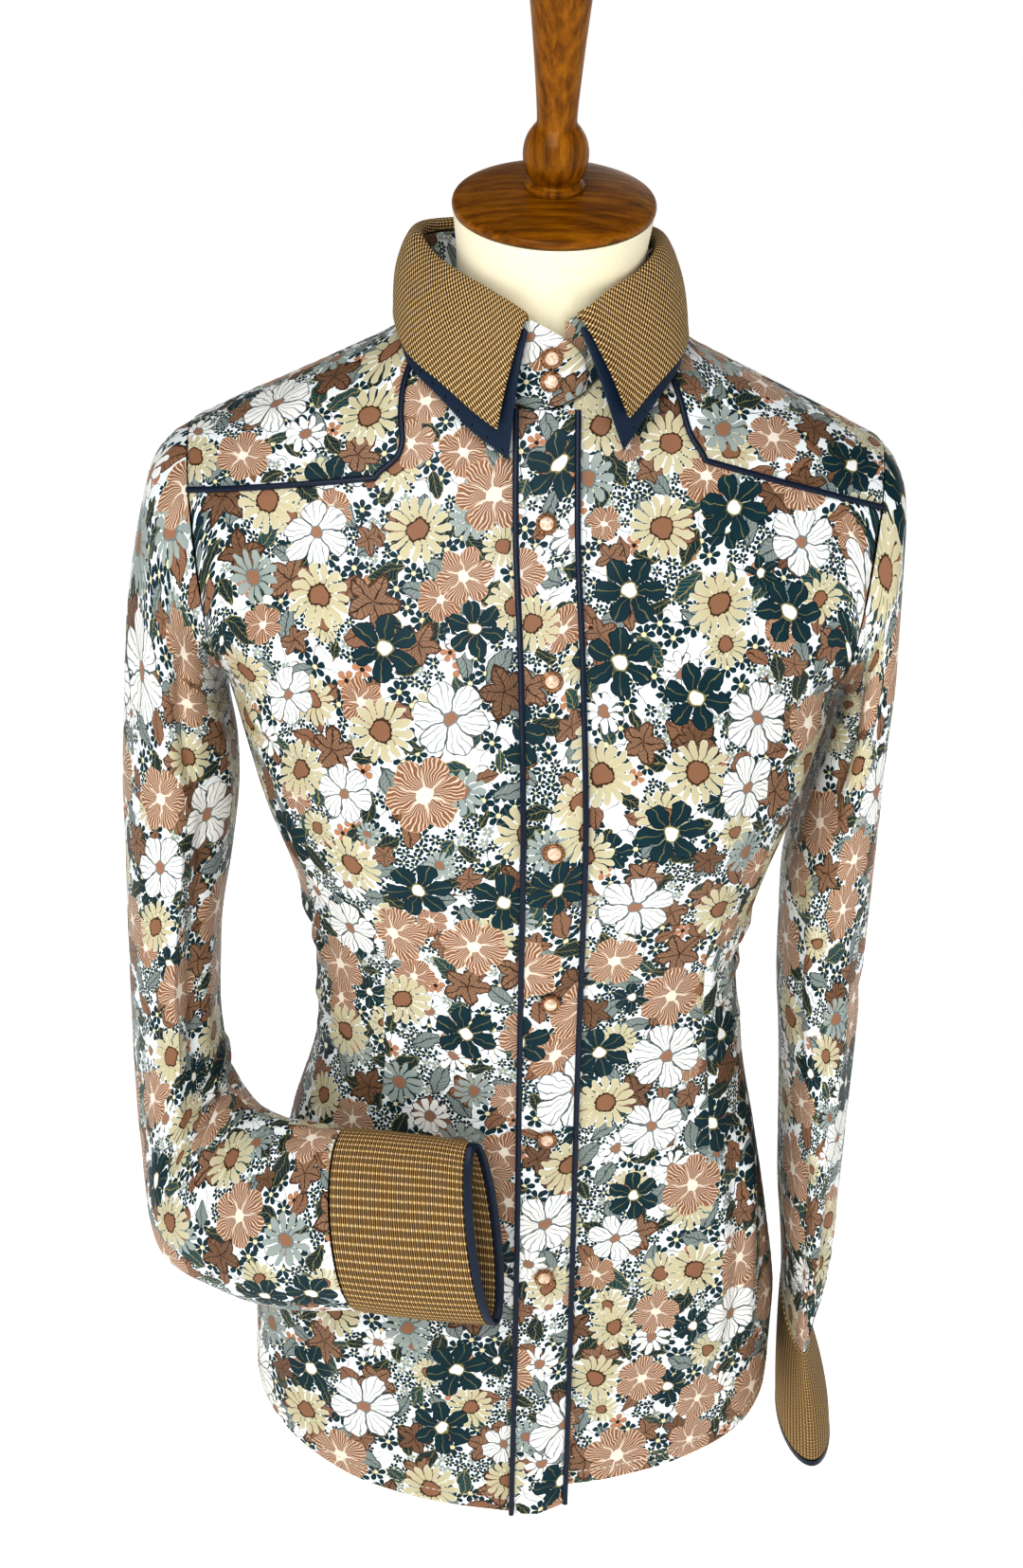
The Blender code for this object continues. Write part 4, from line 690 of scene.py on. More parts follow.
class Surface:
    """The plain front or back surface, held as a lattice of points and normals."""

    def __init__(self, back, relief, creases):
        self.relief, self.creases = relief, creases
        self.heights = np.linspace(0, LATTICE_TOP, LATTICE_ROWS)
        *outline, length, section = quarter_outline(self.heights, back)
        self.quarter = length[:, -1]
        shares = np.linspace(0, 1, LATTICE_COLUMNS)
        x, y = (np.array([np.interp(shares * run[-1], run, row) for run, row in zip(length, rows)])
                for rows in outline)
        x = np.concatenate([-x[:, :0:-1], x], axis=1) + section.centre_x
        y = np.concatenate([y[:, :0:-1], y], axis=1) * (1 if back else -1) + section.centre_y
        self.points = np.stack(np.broadcast_arrays(x, y, self.heights[:, None]), axis=-1)
        self.normals = grid_normals(self.points) * (-1 if back else 1)

    def read(self, lattice, places):
        """Read points or normals of the lattice at places."""
        column = (np.clip(places[..., 0], -1, 1) + 1) * (LATTICE_COLUMNS - 1)
        row = np.clip(places[..., 1], 0, LATTICE_TOP) / LATTICE_TOP * (LATTICE_ROWS - 1)
        i = np.clip(np.floor(row).astype(int), 0, LATTICE_ROWS - 2)
        j = np.clip(np.floor(column).astype(int), 0, 2 * LATTICE_COLUMNS - 3)
        u, v = (column - j)[..., None], (row - i)[..., None]
        return ((1 - v) * ((1 - u) * lattice[i, j] + u * lattice[i, j + 1])
                + v * ((1 - u) * lattice[i + 1, j] + u * lattice[i + 1, j + 1]))

    def girth(self, heights):
        """Return the length from the middle to the side at heights."""
        return np.interp(heights, self.heights, self.quarter)

    def unrolled(self, places):
        """Return places with the length round from the middle in place of the share."""
        return paired(places[..., 0] * self.girth(places[..., 1]), places[..., 1])

    def rolled(self, lengths):
        """Return places from lengths round from the middle."""
        return paired(np.clip(lengths[..., 0] / self.girth(lengths[..., 1]), -1, 1), lengths[..., 1])

    def raised(self, places):
        """Return the points and normals at places, with the mounds, folds and creases on them."""
        places = np.asarray(places, float)
        points, normals = self.read(self.points, places), unit(self.read(self.normals, places))
        mounds = 0
        for row in self.relief:
            sine, cosine = math.sin(math.radians(row.lean)), math.cos(math.radians(row.lean))
            dx, dz = points[..., 0] - row.x, points[..., 2] - row.z
            across, along = dx * cosine + dz * sine, dz * cosine - dx * sine
            mounds += row.height * bell(across, row.across) * bell(along, row.along)
        to_side = 1 - np.abs(places[..., 0])
        chart = self.unrolled(places)
        creases = creased(chart[..., 0], chart[..., 1], self.creases)
        height = (mounds * np.clip(to_side / RELIEF_FADE, 0, 1)
                  + creases * np.clip(to_side / CREASE_FADE, 0, 1))
        return points + normals * height[..., None], normals


FRONT = Surface(False, FRONT_RELIEF, FRONT_CREASES)
BACK = Surface(True, BACK_RELIEF, BACK_CREASES)


def share_at(x, height, back=False):
    """Return the share whose surface point lies at this x on a level."""
    outline_x, _, length, section = quarter_outline(np.array([height]), back)
    offset = x - section.centre_x.item()
    return math.copysign(np.interp(abs(offset), outline_x[0], length[0]) / length[0, -1], offset)


def height_at(x, y):
    """Return the height at which the upper body's surface passes over a point seen from above."""
    low, high = 0.60, 0.73
    for _ in range(28):
        z = (low + high) / 2
        section = section_at(z)
        dx, dy = x - section.centre_x, y - section.centre_y
        depth = section.back if dy > 0 else section.front
        inside = abs(dx / section.half_width) ** section.square + abs(dy / depth) ** section.square < 1
        low, high = (z, high) if inside else (low, z)
    return low


# -------- borders shared by neighbours
def straight(start, end, steps):
    """Return points in equal steps along a straight line."""
    share = np.linspace(0, 1, steps + 1)[:, None]
    return np.asarray(start, float) * (1 - share) + np.asarray(end, float) * share


def joined(*borders):
    """Join borders end to end, dropping each shared point."""
    parts = [np.asarray(border, float) for border in borders]
    return np.concatenate([parts[0]] + [part[1:] for part in parts[1:]])


def neck_place(angle, side, back=False):
    """Return a place on the neckline; the angle runs from straight ahead (front) or behind (back)."""
    x = NECK_X + side * NECK_HALF_WIDTH * math.sin(angle)
    depth = NECK_BACK if back else -NECK_FRONT
    z = height_at(x, NECK_Y + depth * math.cos(angle))
    return share_at(x, z, back), z


# the height of the shoulder line's end at the neck
RIDGE_TOP = height_at(NECK_X + NECK_HALF_WIDTH, section_at(0.70).centre_y)


def armhole_x(side, z):
    """Return where the armhole's plane stands at a height."""
    rise = (z - ARM_LOW_Z) / (ARM_HIGH_Z - ARM_LOW_Z)
    return ARMHOLE_CENTRE_X + side * (ARM_LOW_X + rise * (ARM_HIGH_X - ARM_LOW_X))


def armhole_places(side, back, steps):
    """Return the armhole's places at ring steps, counted from under the arm up to the shoulder tip."""
    places = []
    for step in steps:
        z = ARM_LOW_Z + (ARM_HIGH_Z - ARM_LOW_Z) * (1 - math.cos(2 * math.pi * step / RING_STEPS)) / 2
        ends = step in (0, RING_STEPS // 2)
        places.append((side if ends else share_at(armhole_x(side, z), z, back), z))
    return np.array(places, float)


def hem_border(start, end, steps, side_name):
    """Return the hem's places between two shares."""
    shares = np.linspace(start, end, steps * SUB + 1)
    return paired(shares, getattr(hem_at(np.abs(shares)), side_name))


def yoke_border(side):
    """Return the yoke's seam from the neckline down to its corner and out to the armhole."""
    turning = [neck_place(YOKE_NECK_ANGLE, side)]
    turning += [(share_at(x, z), z) for x, z in (YOKE_RISE[side], YOKE_CORNER[side])]
    armhole_end = armhole_places(side, False, [YOKE_RING_STEP])[0]
    rising = through(turning, np.linspace(0, YOKE_RISE_COLUMNS, YOKE_RISE_COLUMNS * SUB + 1))
    return joined(rising, straight(turning[-1], armhole_end, YOKE_LEVEL_COLUMNS * SUB))


def opening_x(z):
    """Return where the two fronts meet under the placket."""
    return middle_at(z).x - PLACKET_WIDTH / 2 + 0.002


def front_borders(side):
    """Return the four borders of a front: hem, side and armhole, neckline and yoke, opening."""
    low = getattr(hem_at(0), SIDES[side])
    hem = hem_border(share_at(opening_x(low), low), side, NECK_COLUMNS + YOKE_COLUMNS, SIDES[side])
    arm = armhole_places(side, False, np.arange(YOKE_RING_STEP * SUB + 1) / SUB)
    outer = joined(straight((side, hem[-1][1]), (side, ARM_LOW_Z), HEM_TO_UNDERARM * SUB), arm)
    start_angle = math.asin((opening_x(0.67) - NECK_X) / NECK_HALF_WIDTH) * side
    angles = np.linspace(start_angle, YOKE_NECK_ANGLE, NECK_COLUMNS * SUB + 1)
    neck = [neck_place(angle, side) for angle in angles]
    levels = joined(np.linspace(hem[0][1], ARM_LOW_Z, HEM_TO_UNDERARM * SUB + 1),
                    np.linspace(ARM_LOW_Z, neck[0][1], YOKE_RING_STEP * SUB + 1))
    opening = [(share_at(opening_x(z), z), z) for z in levels]
    return hem, outer, joined(neck, yoke_border(side)), opening


def yoke_borders(side):
    """Return the four borders of a yoke: seam, armhole, shoulder line and neckline."""
    armhole = armhole_places(side, False, YOKE_RING_STEP + np.arange(3 * SUB + 1) / SUB)
    ridge = straight((side, RIDGE_TOP), (side, ARM_HIGH_Z), YOKE_COLUMNS * SUB)
    neck = [neck_place(angle, side) for angle in np.linspace(YOKE_NECK_ANGLE, math.pi / 2, 3 * SUB + 1)]
    neck[-1] = (side, RIDGE_TOP)
    return yoke_border(side), armhole, ridge, neck


def back_borders():
    """Return the four borders of the back: hem, left edge, shoulders and neckline, right edge."""
    hem = hem_border(-1, 1, 2 * YOKE_COLUMNS + BACK_NECK_COLUMNS, "right")
    steps = np.arange(RING_STEPS // 2 * SUB + 1) / SUB
    edges = [joined(straight((side, hem[0][1]), (side, ARM_LOW_Z), HEM_TO_UNDERARM * SUB),
                    armhole_places(side, True, steps)) for side in (1, -1)]
    angles = np.linspace(math.pi / 2, 0, BACK_NECK_COLUMNS // 2 * SUB + 1)
    neck = [neck_place(angle, -1, back=True) for angle in angles]
    neck += [neck_place(angle, 1, back=True) for angle in angles[-2::-1]]
    neck[0], neck[-1] = (-1, RIDGE_TOP), (1, RIDGE_TOP)
    ridges = [straight((side, RIDGE_TOP), (side, ARM_HIGH_Z), YOKE_COLUMNS * SUB) for side in (-1, 1)]
    return hem, edges[0], joined(ridges[0][::-1], neck, ridges[1]), edges[1]


def coons(bottom, right, top, left):
    """Fill a four-sided patch from its borders: rows run from bottom to top, columns left to right."""
    u = np.linspace(0, 1, len(bottom))[None, :, None]
    v = np.linspace(0, 1, len(left))[:, None, None]
    ruled = (1 - v) * bottom[None] + v * top[None] + (1 - u) * left[:, None] + u * right[:, None]
    corner_share = ((1 - u) * (1 - v) * bottom[0] + u * (1 - v) * bottom[-1]
                    + (1 - u) * v * top[0] + u * v * top[-1])
    return ruled - corner_share


def read_border(border, at):
    """Read a border at places counted in coarse steps."""
    return read_line(border, np.arange(len(border)) / SUB, at)


# -------- panels of the body
def panel_chart(borders, surface, rows_at, columns_at):
    """Return a panel's fine grid on the flat chart, evened out as its solid is."""
    bottom, right, top, left = fine = [surface.unrolled(border) for border in borders]
    chart = coons(*(border[::SUB] for border in fine))
    for _ in range(RELAXING_ROUNDS):
        chart[1:-1, 1:-1] = (chart[:-2, 1:-1] + chart[2:, 1:-1] + chart[1:-1, :-2] + chart[1:-1, 2:]) / 4
    grid = refined(chart, rows_at, columns_at)
    across = grid.swapaxes(0, 1)
    for view, edge, border, at, distance in (
            (grid, 0, bottom, columns_at, rows_at),
            (grid, -1, top, columns_at, rows_at[-1] - rows_at),
            (across, 0, left, rows_at, columns_at),
            (across, -1, right, rows_at, columns_at[-1] - columns_at)):
        miss = read_border(border, at) - view[edge]
        view += (np.clip(1 - distance / BLEND_REACH, 0, 1) ** 2)[:, None, None] * miss
    return grid


def seam_relief(chart, edges):
    """Return how puckering and the dip at seams move a panel, from the edges that are sewn."""
    height = np.zeros(chart.shape[:2])
    borders = {"bottom": chart[0], "top": chart[-1], "left": chart[:, 0], "right": chart[:, -1]}
    for edge in edges:
        run = run_along(borders[edge])
        even = np.linspace(0, run[-1], 220)
        gap = np.linalg.norm(chart[:, :, None] - read_line(borders[edge], run, even), axis=3)
        distance, place = gap.min(axis=2), even[gap.argmin(axis=2)]
        wave = np.sin(2 * math.pi * place / PUCKER_WAVE + 1.7 * np.sin(place / 0.023))
        height += PUCKER * wave * (0.6 + 0.4 * np.sin(place / 0.041)) * bell(distance, 0.006)
        height += SEAM_PUFF * bell(distance - 0.0045, 0.003) - SEAM_SINK * bell(distance, 0.0016)
    return height


def set_dart(chart, columns_at, dart):
    """Bend a chart's columns so that one runs down a dart; return it and how deep the dart is by row."""
    heights = chart[:, 0, 1]
    low, high = dart.low_z * MM, dart.high_z * MM
    line = np.interp(heights, (low, high), (dart.low_u * MM, dart.high_u * MM))
    share = np.clip((heights - low) / (high - low), -0.4, 1.4)
    held = np.clip((0.9 - np.abs(share - 0.5)) / 0.4, 0, 1)
    column = int(np.argmin(np.abs(chart[..., 0] - line[:, None])[held == 1].mean(axis=0)))
    spread = eased(1 - np.abs(columns_at - columns_at[column]) / 3.5)
    chart[..., 0] += spread[None] * ((line - chart[:, column, 0]) * held)[:, None]
    return column, np.sin(math.pi * np.clip(share, 0, 1))


def add_panel(name, borders, surface, sewn):
    """Make one printed panel of the body over its solid."""
    borders = [np.asarray(border, float) for border in borders]
    rows_at = fine_steps((len(borders[3]) - 1) // SUB, FINE_UP)
    columns_at = fine_steps((len(borders[0]) - 1) // SUB, FINE_ACROSS)
    chart = panel_chart(borders, surface, rows_at, columns_at)
    cuts = np.zeros((len(rows_at), len(columns_at) - 1))
    sunk = np.zeros(chart.shape[:2])
    for dart in DARTS.get(name, ()):
        column, depth = set_dart(chart, columns_at, dart)
        distance = np.abs(chart[..., 0] - chart[:, column:column + 1, 0])
        sunk += depth[:, None] * (DART_PUFF * bell(distance - 0.006, 0.005)
                                  - DART_SINK * bell(distance, 0.0018))
        beyond = (np.arange(len(columns_at) - 1) >= column) * np.sign(chart[0, -1, 0] - chart[0, 0, 0])
        cuts += beyond[None] * dart.intake * MM * depth[:, None]
    height = seam_relief(chart, sewn) + sunk
    points, normals = surface.raised(surface.rolled(chart))
    points = points + normals * height[..., None]
    uv = paired(chart[..., 0], points[0, :, 2] + lengths_along(points, 0), PRINT_OFFSETS[name])
    for edge, inward in ((np.s_[0], points[1]), (np.s_[-1], points[-2]),
                         (np.s_[:, 0], points[:, 1]), (np.s_[:, -1], points[:, -2])):
        points[edge] += unit(inward - points[edge]) * SEAM / 2
    add_cloth(name, "printed_satin", printed_satin(), points, points - normals * CLOTH, uv,
              cuts=cuts)


# -------- sleeves
def ring_points(row, shrink, raised=0.0):
    """Return the points round one ring, from the body side by the front, drawn in by the shrink."""
    near, far = np.array([row.in_x, row.mid_y, row.in_z]), np.array([row.out_x, row.mid_y, row.out_z])
    middle, reach = (near + far) / 2, (near - far) / 2
    reach -= unit(reach) * shrink
    turn = math.radians(row.turn)
    depth = np.array([-math.sin(turn), -math.cos(turn), 0]) * (row.half_depth - shrink)
    angles = np.arange(RING_STEPS)[:, None] * 2 * math.pi / RING_STEPS
    spokes = np.cos(angles) * reach + np.sin(angles) * depth
    return middle + spokes + unit(spokes) * np.reshape(raised, (-1, 1))


def fold_heights(share, folds):
    """Return how far a sleeve's folds raise each point of the ring at a share of its length."""
    degrees = np.arange(RING_STEPS) * 360 / RING_STEPS
    height = np.zeros(RING_STEPS)
    for fold in folds:
        turn = (degrees - fold.degrees + 180) % 360 - 180
        height += fold.height * bell(turn, fold.half_degrees) * bell(share - fold.share, fold.half_share)
    return height


def finer_rings(rings, steps):
    """Read a table of rings smoothly at equal steps along it."""
    ring_at = reader(rings, np.arange(len(rings)), whole=["turn"])
    return [ring_at(order) for order in np.linspace(0, len(rings) - 1, steps + 1)]


def armhole_ring(side, steps_at):
    """Return the armhole's points at ring steps, a seam's gap outside it."""
    half = RING_STEPS // 2
    front = FRONT.raised(armhole_places(side, False, [step for step in steps_at if step <= half]))[0]
    back = BACK.raised(armhole_places(side, True, [RING_STEPS - step for step in steps_at if step > half]))[0]
    outward = unit(np.array([side * (ARM_HIGH_Z - ARM_LOW_Z), 0, -(ARM_HIGH_X - ARM_LOW_X)]))
    return np.concatenate([front, back]) + outward * SEAM


def add_sleeve(side, rings, steps, folds, creases):
    """Make a sleeve from its armhole to its cuff, over its solid."""
    node = "sleeve_" + SIDES[side]
    rows = [ring_points(row, 0, fold_heights(order / steps, folds))
            for order, row in enumerate(finer_rings(rings, steps))]
    coarse = np.stack([armhole_ring(side, np.arange(RING_STEPS)), *rows])
    columns_at = np.arange(RING_STEPS * SLEEVE_AROUND) / SLEEVE_AROUND
    rows_at = fine_steps(len(coarse) - 1, SLEEVE_ALONG, (0.06, 0.16, 0.35))
    grid = refined(coarse, rows_at, columns_at, closed=True)
    miss = armhole_ring(side, columns_at) - grid[0]
    grid += (np.clip(1 - rows_at, 0, 1) ** 2)[:, None, None] * miss

    middle, around = grid.mean(axis=1), mean_girth(grid)
    from_head = run_along(middle)[:, None]
    from_cuff = from_head[-1] - from_head
    across = np.linspace(0, around, len(columns_at) + 1)
    height = creased(across[:-1], from_head, creases, around)
    for distance, wave_length in ((from_head, HEAD_WAVE), (from_cuff, CUFF_WAVE)):
        wave = np.sin(2 * math.pi * across[:-1] / wave_length + 1.5 * np.sin(across[:-1] / 0.019))
        height += PUCKER * 1.5 * bell(distance, 0.008) * wave
    height += SEAM_PUFF * 2 * bell(from_head - 0.0045, 0.0035) - SEAM_SINK * bell(from_head, 0.0016)
    fade = np.clip(from_head / 0.004, 0, 1) * np.clip(from_cuff / 0.004, 0, 1)
    normals = outward_normals(grid, middle[:, None], closed=True)
    outer = grid + normals * (height * fade)[..., None]
    add_cloth(node, "printed_satin", printed_satin(), outer, outer - normals * CLOTH,
              paired(across, -from_head, PRINT_OFFSETS[node]), closed=True)


# -------- cuffs
def add_cuff(side, rings):
    """Make a cuff of check cloth, and the navy binding round its mouth."""
    columns_at = np.arange(RING_STEPS * CUFF_AROUND) / CUFF_AROUND
    rows_at = fine_steps(CUFF_ROWS, CUFF_ALONG, (0.03, 0.08, 0.2))
    finer = finer_rings(rings, CUFF_ROWS)
    outer, inner = (refined([ring_points(row, shrink) for row in finer], rows_at, columns_at, closed=True)
                    for shrink in (0, CUFF_WALL))
    across = np.linspace(0, mean_girth(outer), len(columns_at) + 1)
    along = run_along(outer.mean(axis=1))[:, None]
    cloth = check_cloth("Tan rib check", row_pitch=4.1, rib_pitch=1.15, pale_pitch=2.3)
    add_cloth("cuff_" + SIDES[side], "tan_check", cloth, outer, inner, paired(across, along),
              closed=True)

    onward = unit((outer[-1] - outer[-3]).mean(axis=0))
    crest, half = (outer[-1] + inner[-1]) / 2, (outer[-1] - inner[-1]) / 2
    tube = np.array([crest + half * out + onward * (SEAM + (BINDING_WIDTH - SEAM) * reach)
                     for reach, out in BINDING_PROFILE])
    rows, columns = corners(len(tube), len(crest), closed_rows=True)
    faces = rows % len(tube) * len(crest) + columns % len(crest)
    binding = add_mesh("cuff_edge_" + SIDES[side], tube.reshape(-1, 3), faces, navy_satin(),
                       paired(across[columns], rows * MM))
    settle(binding, "navy_satin", "cuff_binding_" + SIDES[side])


# -------- placket and piping
def placket_line(offset, count):
    """Return the places up one line of the placket, from its hem to its top."""
    heights = np.linspace(PLACKET_LOW + max(0.0, offset) * 0.5, PLACKET_HIGH, count)
    return np.array([(share_at(middle_at(z).x + offset, z), z) for z in heights])


def add_placket():
    """Make the front band, its long edges pressed down."""
    shares = np.concatenate([[-1, -0.97, -0.92], np.linspace(-0.82, 0.82, 9), [0.92, 0.97, 1]])
    offsets, from_middle = shares * PLACKET_WIDTH / 2, np.abs(shares)
    points, normals = FRONT.raised(np.stack([placket_line(offset, 190) for offset in offsets], axis=1))
    up = lengths_along(points, 0)
    thickness = CLOTH - PLACKET_PRESSED * np.clip((from_middle - 0.85) / 0.15, 0, 1)
    wave = 0.00018 * np.sin(up / 0.0021 + offsets * 90) * bell(from_middle - 0.8, 0.12)
    inner = points + normals * PLACKET_LIFT
    add_cloth("placket", "printed_satin", printed_satin(), inner + normals * (thickness + wave)[..., None],
              inner, paired(offsets, up, PRINT_OFFSETS["placket"]))


def add_piping(node, places, lift):
    """Lay a flat navy piping with a rounded top along places on the front."""
    points, normals = FRONT.raised(places)
    path = points + normals * lift
    across = unit(np.cross(normals, np.gradient(path, axis=0)))
    rings = [path + across * PIPING_WIDTH / 2 * x + normals * PIPING_HEIGHT * up for x, up in PIPING_PROFILE]
    settle(add_bar(node + "_cord", np.stack(rings, axis=1), navy_satin()), "navy_satin", node)


# -------- stand and collar
# each station's points on the fold and the edge, the way out of the neck there, and two of its sizes
FOLD, EDGE = columns_of(COLLAR, "fold_x fold_y fold_z"), columns_of(COLLAR, "edge_x edge_y edge_z")
OUTWARD = unit(np.cross(np.gradient(FOLD, axis=0), (0, 0, -1)))
UNDER, LIP = columns_of(COLLAR, "under"), columns_of(COLLAR, "lip")
# angles about the neck run from its back, left side positive; this is where the stand's upper end lies
OVER_ANGLE = -math.pi - math.asin((STAND_OVERLAP_X - NECK_X) / NECK_HALF_WIDTH)


def stand_angles():
    """Return the angles from the upper end at the front, by the back, to the under end."""
    turns = [OVER_ANGLE + row.turn for row in STAND_END]
    return np.concatenate([turns[:-1], np.linspace(turns[-1], math.pi - 0.20, STAND_COLUMNS + 1)])


def stand_column(angle):
    """Return the foot and head of the stand at an angle, and the way out of the neck."""
    outward = np.array([math.sin(angle), math.cos(angle), 0])
    x = NECK_X + NECK_HALF_WIDTH * outward[0]
    y = NECK_Y + (NECK_BACK if outward[1] > 0 else NECK_FRONT) * outward[1]
    foot = np.array([x, y, height_at(x, y) + STAND_FOOT_GAP])
    fold_x, fold_y, fold_z = (FOLD - (NECK_X, NECK_Y, 0)).T
    angles = np.arctan2(fold_x, fold_y)
    frontness = np.clip((abs(angle) - 2.2) / 0.6, 0, 1)
    inset = STAND_INSET + (STAND_INSET_FRONT - STAND_INSET) * frontness
    drop = STAND_DROP + (STAND_DROP_FRONT - STAND_DROP) * frontness
    radius = min(np.interp(angle, angles, np.hypot(fold_x, fold_y)) - inset, STAND_FRONT_RADIUS)
    head = np.array([NECK_X, NECK_Y, np.interp(angle, angles, fold_z) - drop]) + outward * radius
    head = foot + (head - foot) * np.interp(angle - OVER_ANGLE, *zip(*STAND_END))
    lapped = np.clip((-angle - math.pi + 0.55) / 0.45, 0, 1) * STAND_LAP
    return foot + outward * lapped, head + outward * lapped, outward


def stand_grids(angles):
    """Return the stand's outer and inner faces, feet first."""
    feet, heads, outward = np.swapaxes([stand_column(angle) for angle in angles], 0, 1)
    share = np.linspace(0, 1, STAND_ROWS + 1)[:, None, None]
    outer = feet * (1 - share) + heads * share + outward * STAND_BOW * np.sin(math.pi * share)
    return outer, outer - outward * STAND_WALL


def add_stand():
    """Make the printed collar stand, whose upper end laps over the under end at the front."""
    coarse = stand_grids(stand_angles())
    rows_at = fine_steps(STAND_ROWS, 5, (0.06, 0.16))
    columns_at = fine_steps(coarse[0].shape[1] - 1, 6, (0.08, 0.2))
    outer, inner = (refined(grid, rows_at, columns_at) for grid in coarse)
    uv = paired(lengths_along(outer, 1), lengths_along(outer, 0), PRINT_OFFSETS["collar_stand"])
    add_cloth("collar_stand", "printed_satin", printed_satin(), outer, inner, uv)


def collar_face(inset, starts, steps):
    """Return one face of the fall, from each station's start near the fold to the edge."""
    share = starts + (1 - starts) * np.linspace(0, 1, steps + 1)[:, None, None]
    return FOLD * (1 - share) + EDGE * share + OUTWARD * (COLLAR_BULGE * np.sin(math.pi * share) - inset)


def collar_roll(inset):
    """Return the rows of one face that go over the fold and down inside it."""
    width, up = LIP * COLLAR_ROLL, np.array([0, 0, 1])
    inside = FOLD - OUTWARD * (width - inset)
    crest = up * (COLLAR_ROLL * 0.22 - inset)
    return np.array([inside - up * width * 0.9, inside - up * 0.0012, FOLD - OUTWARD * width * 0.5 + crest])


def widen_under(grid):
    """Let the undercollar show beyond the collar along its edge and its two front ends."""
    rows = np.concatenate([grid, [grid[-1] + unit(grid[-1] - grid[-2]) * UNDER]])
    shares = np.linspace(0.15, 0.62, len(rows))[:, None]
    for end, beside in ((0, 1), (-1, -2)):
        rows[:, end] += unit(rows[:, end] - rows[:, beside]) * UNDER[end] * shares
    return rows


def grained(grid):
    """Return the collar's flat chart: rows of the check run along it and turn down at the wings."""
    around, up = lengths_along(grid, 1)[-12:].mean(axis=0), lengths_along(grid, 0)
    around -= around[-1] / 2
    grain = GRAIN_TURN * np.sign(around) * np.clip((np.abs(around) - 0.03) / 0.10, 0, 1)
    cosine, sine = np.cos(grain), np.sin(grain)
    up = up[-1] - up
    step = np.diff(around, prepend=around[0])
    rise = np.cumsum(sine * step)
    rise -= rise[len(rise) // 2]
    return paired(np.cumsum(cosine * step) - up * sine, up * cosine + rise)


def add_collar():
    """Make the rolled check collar."""
    coarse = [np.concatenate([collar_roll(inset), collar_face(inset, COLLAR_START, 4)])
              for inset in (0, COLLAR_WALL)]
    rows_at = fine_steps(len(coarse[0]) - 1, 7, (0.04, 0.1, 0.2))
    columns_at = fine_steps(len(COLLAR) - 1, 10, (0.06, 0.15, 0.3))
    outer, inner = (refined(grid, rows_at, columns_at) for grid in coarse)
    normals = outward_normals(outer, inner)
    fall = np.clip((rows_at - 2.5) / 1.2, 0, 1)[:, None]
    thick = COLLAR_THICK * fall * (1 + 0.3 * bell(rows_at[-1] - rows_at, 0.25)[:, None])
    off = COLLAR_STAND_OFF * fall * bell(np.minimum(columns_at, columns_at[-1] - columns_at), 0.9)
    outer, inner = outer + normals * (thick + off)[..., None], inner + normals * off[..., None]
    cloth = check_cloth("Tan mini check", row_pitch=2.6, rib_pitch=1.6, pale_pitch=1.6)
    add_cloth("collar", "tan_check", cloth, outer, inner, grained(outer))


def add_undercollar():
    """Make the navy undercollar with its pinked edge."""
    starts = np.interp(LIP, (0.6, 0.8), (UNDER_START_FRONT, UNDER_START))
    gap = COLLAR_WALL + UNDER_GAP
    coarse = [widen_under(collar_face(inset, starts, 3)) for inset in (gap, gap + CLOTH)]
    rows_at = fine_steps(len(coarse[0]) - 1, 6, (0.06, 0.14))
    columns_at = np.linspace(0, len(COLLAR) - 1, PINKING_POINTS * 2 + 1)
    run = lengths_along(refined(coarse[0], rows_at, columns_at), 1)[-1]
    even = np.interp(np.linspace(0, run[-1], len(run)), run, columns_at)
    outer, inner = (refined(grid, rows_at, even) for grid in coarse)
    around, up = lengths_along(outer, 1), lengths_along(outer, 0)
    around += (around[-1, -1] - around[:, -1:]) / 2
    zigzag = np.where(np.arange(len(run)) % 2, -PINKING, PINKING * 0.4)[:, None]
    near_edge = bell(rows_at[-1] - rows_at, 0.1)[:, None, None]
    for grid in (outer, inner):
        grid += near_edge * zigzag * unit(grid[-1] - grid[-4])
    add_cloth("undercollar", "navy_satin", undercollar_satin(), outer, inner, paired(around, up[-1] - up))


# -------- snaps, stitches and the form
def turned(name, profile, sides, material):
    """Turn a profile of radii and heights into a solid round the upright axis, ring by ring."""
    bpy.ops.object.select_all(action="DESELECT")
    bpy.ops.mesh.primitive_circle_add(vertices=sides, radius=profile[0][0], fill_type="NGON",
                                      location=(0, 0, profile[0][1]))
    thing = bpy.context.object
    thing.name = thing.data.name = name
    bpy.ops.object.transform_apply(location=True, rotation=True, scale=True)
    bpy.ops.object.mode_set(mode="EDIT")
    bpy.ops.mesh.select_all(action="SELECT")
    for (radius, height), (next_radius, next_height) in zip(profile, profile[1:]):
        bpy.ops.mesh.extrude_region_move(TRANSFORM_OT_translate={"value": (0, 0, next_height - height)})
        bpy.ops.transform.resize(value=(next_radius / radius, next_radius / radius, 1))
    bpy.ops.mesh.select_all(action="SELECT")
    bpy.ops.mesh.normals_make_consistent(inside=False)
    bpy.ops.object.mode_set(mode="OBJECT")
    bpy.ops.object.shade_smooth_by_angle(angle=math.radians(40))
    thing.data.materials.append(material)
    return thing


def stand_at(thing, place):
    """Set a finished piece in its place and bake that into its mesh."""
    select_only(thing)
    thing.matrix_world = place
    bpy.ops.object.transform_apply(location=True, rotation=True, scale=True)
    return thing


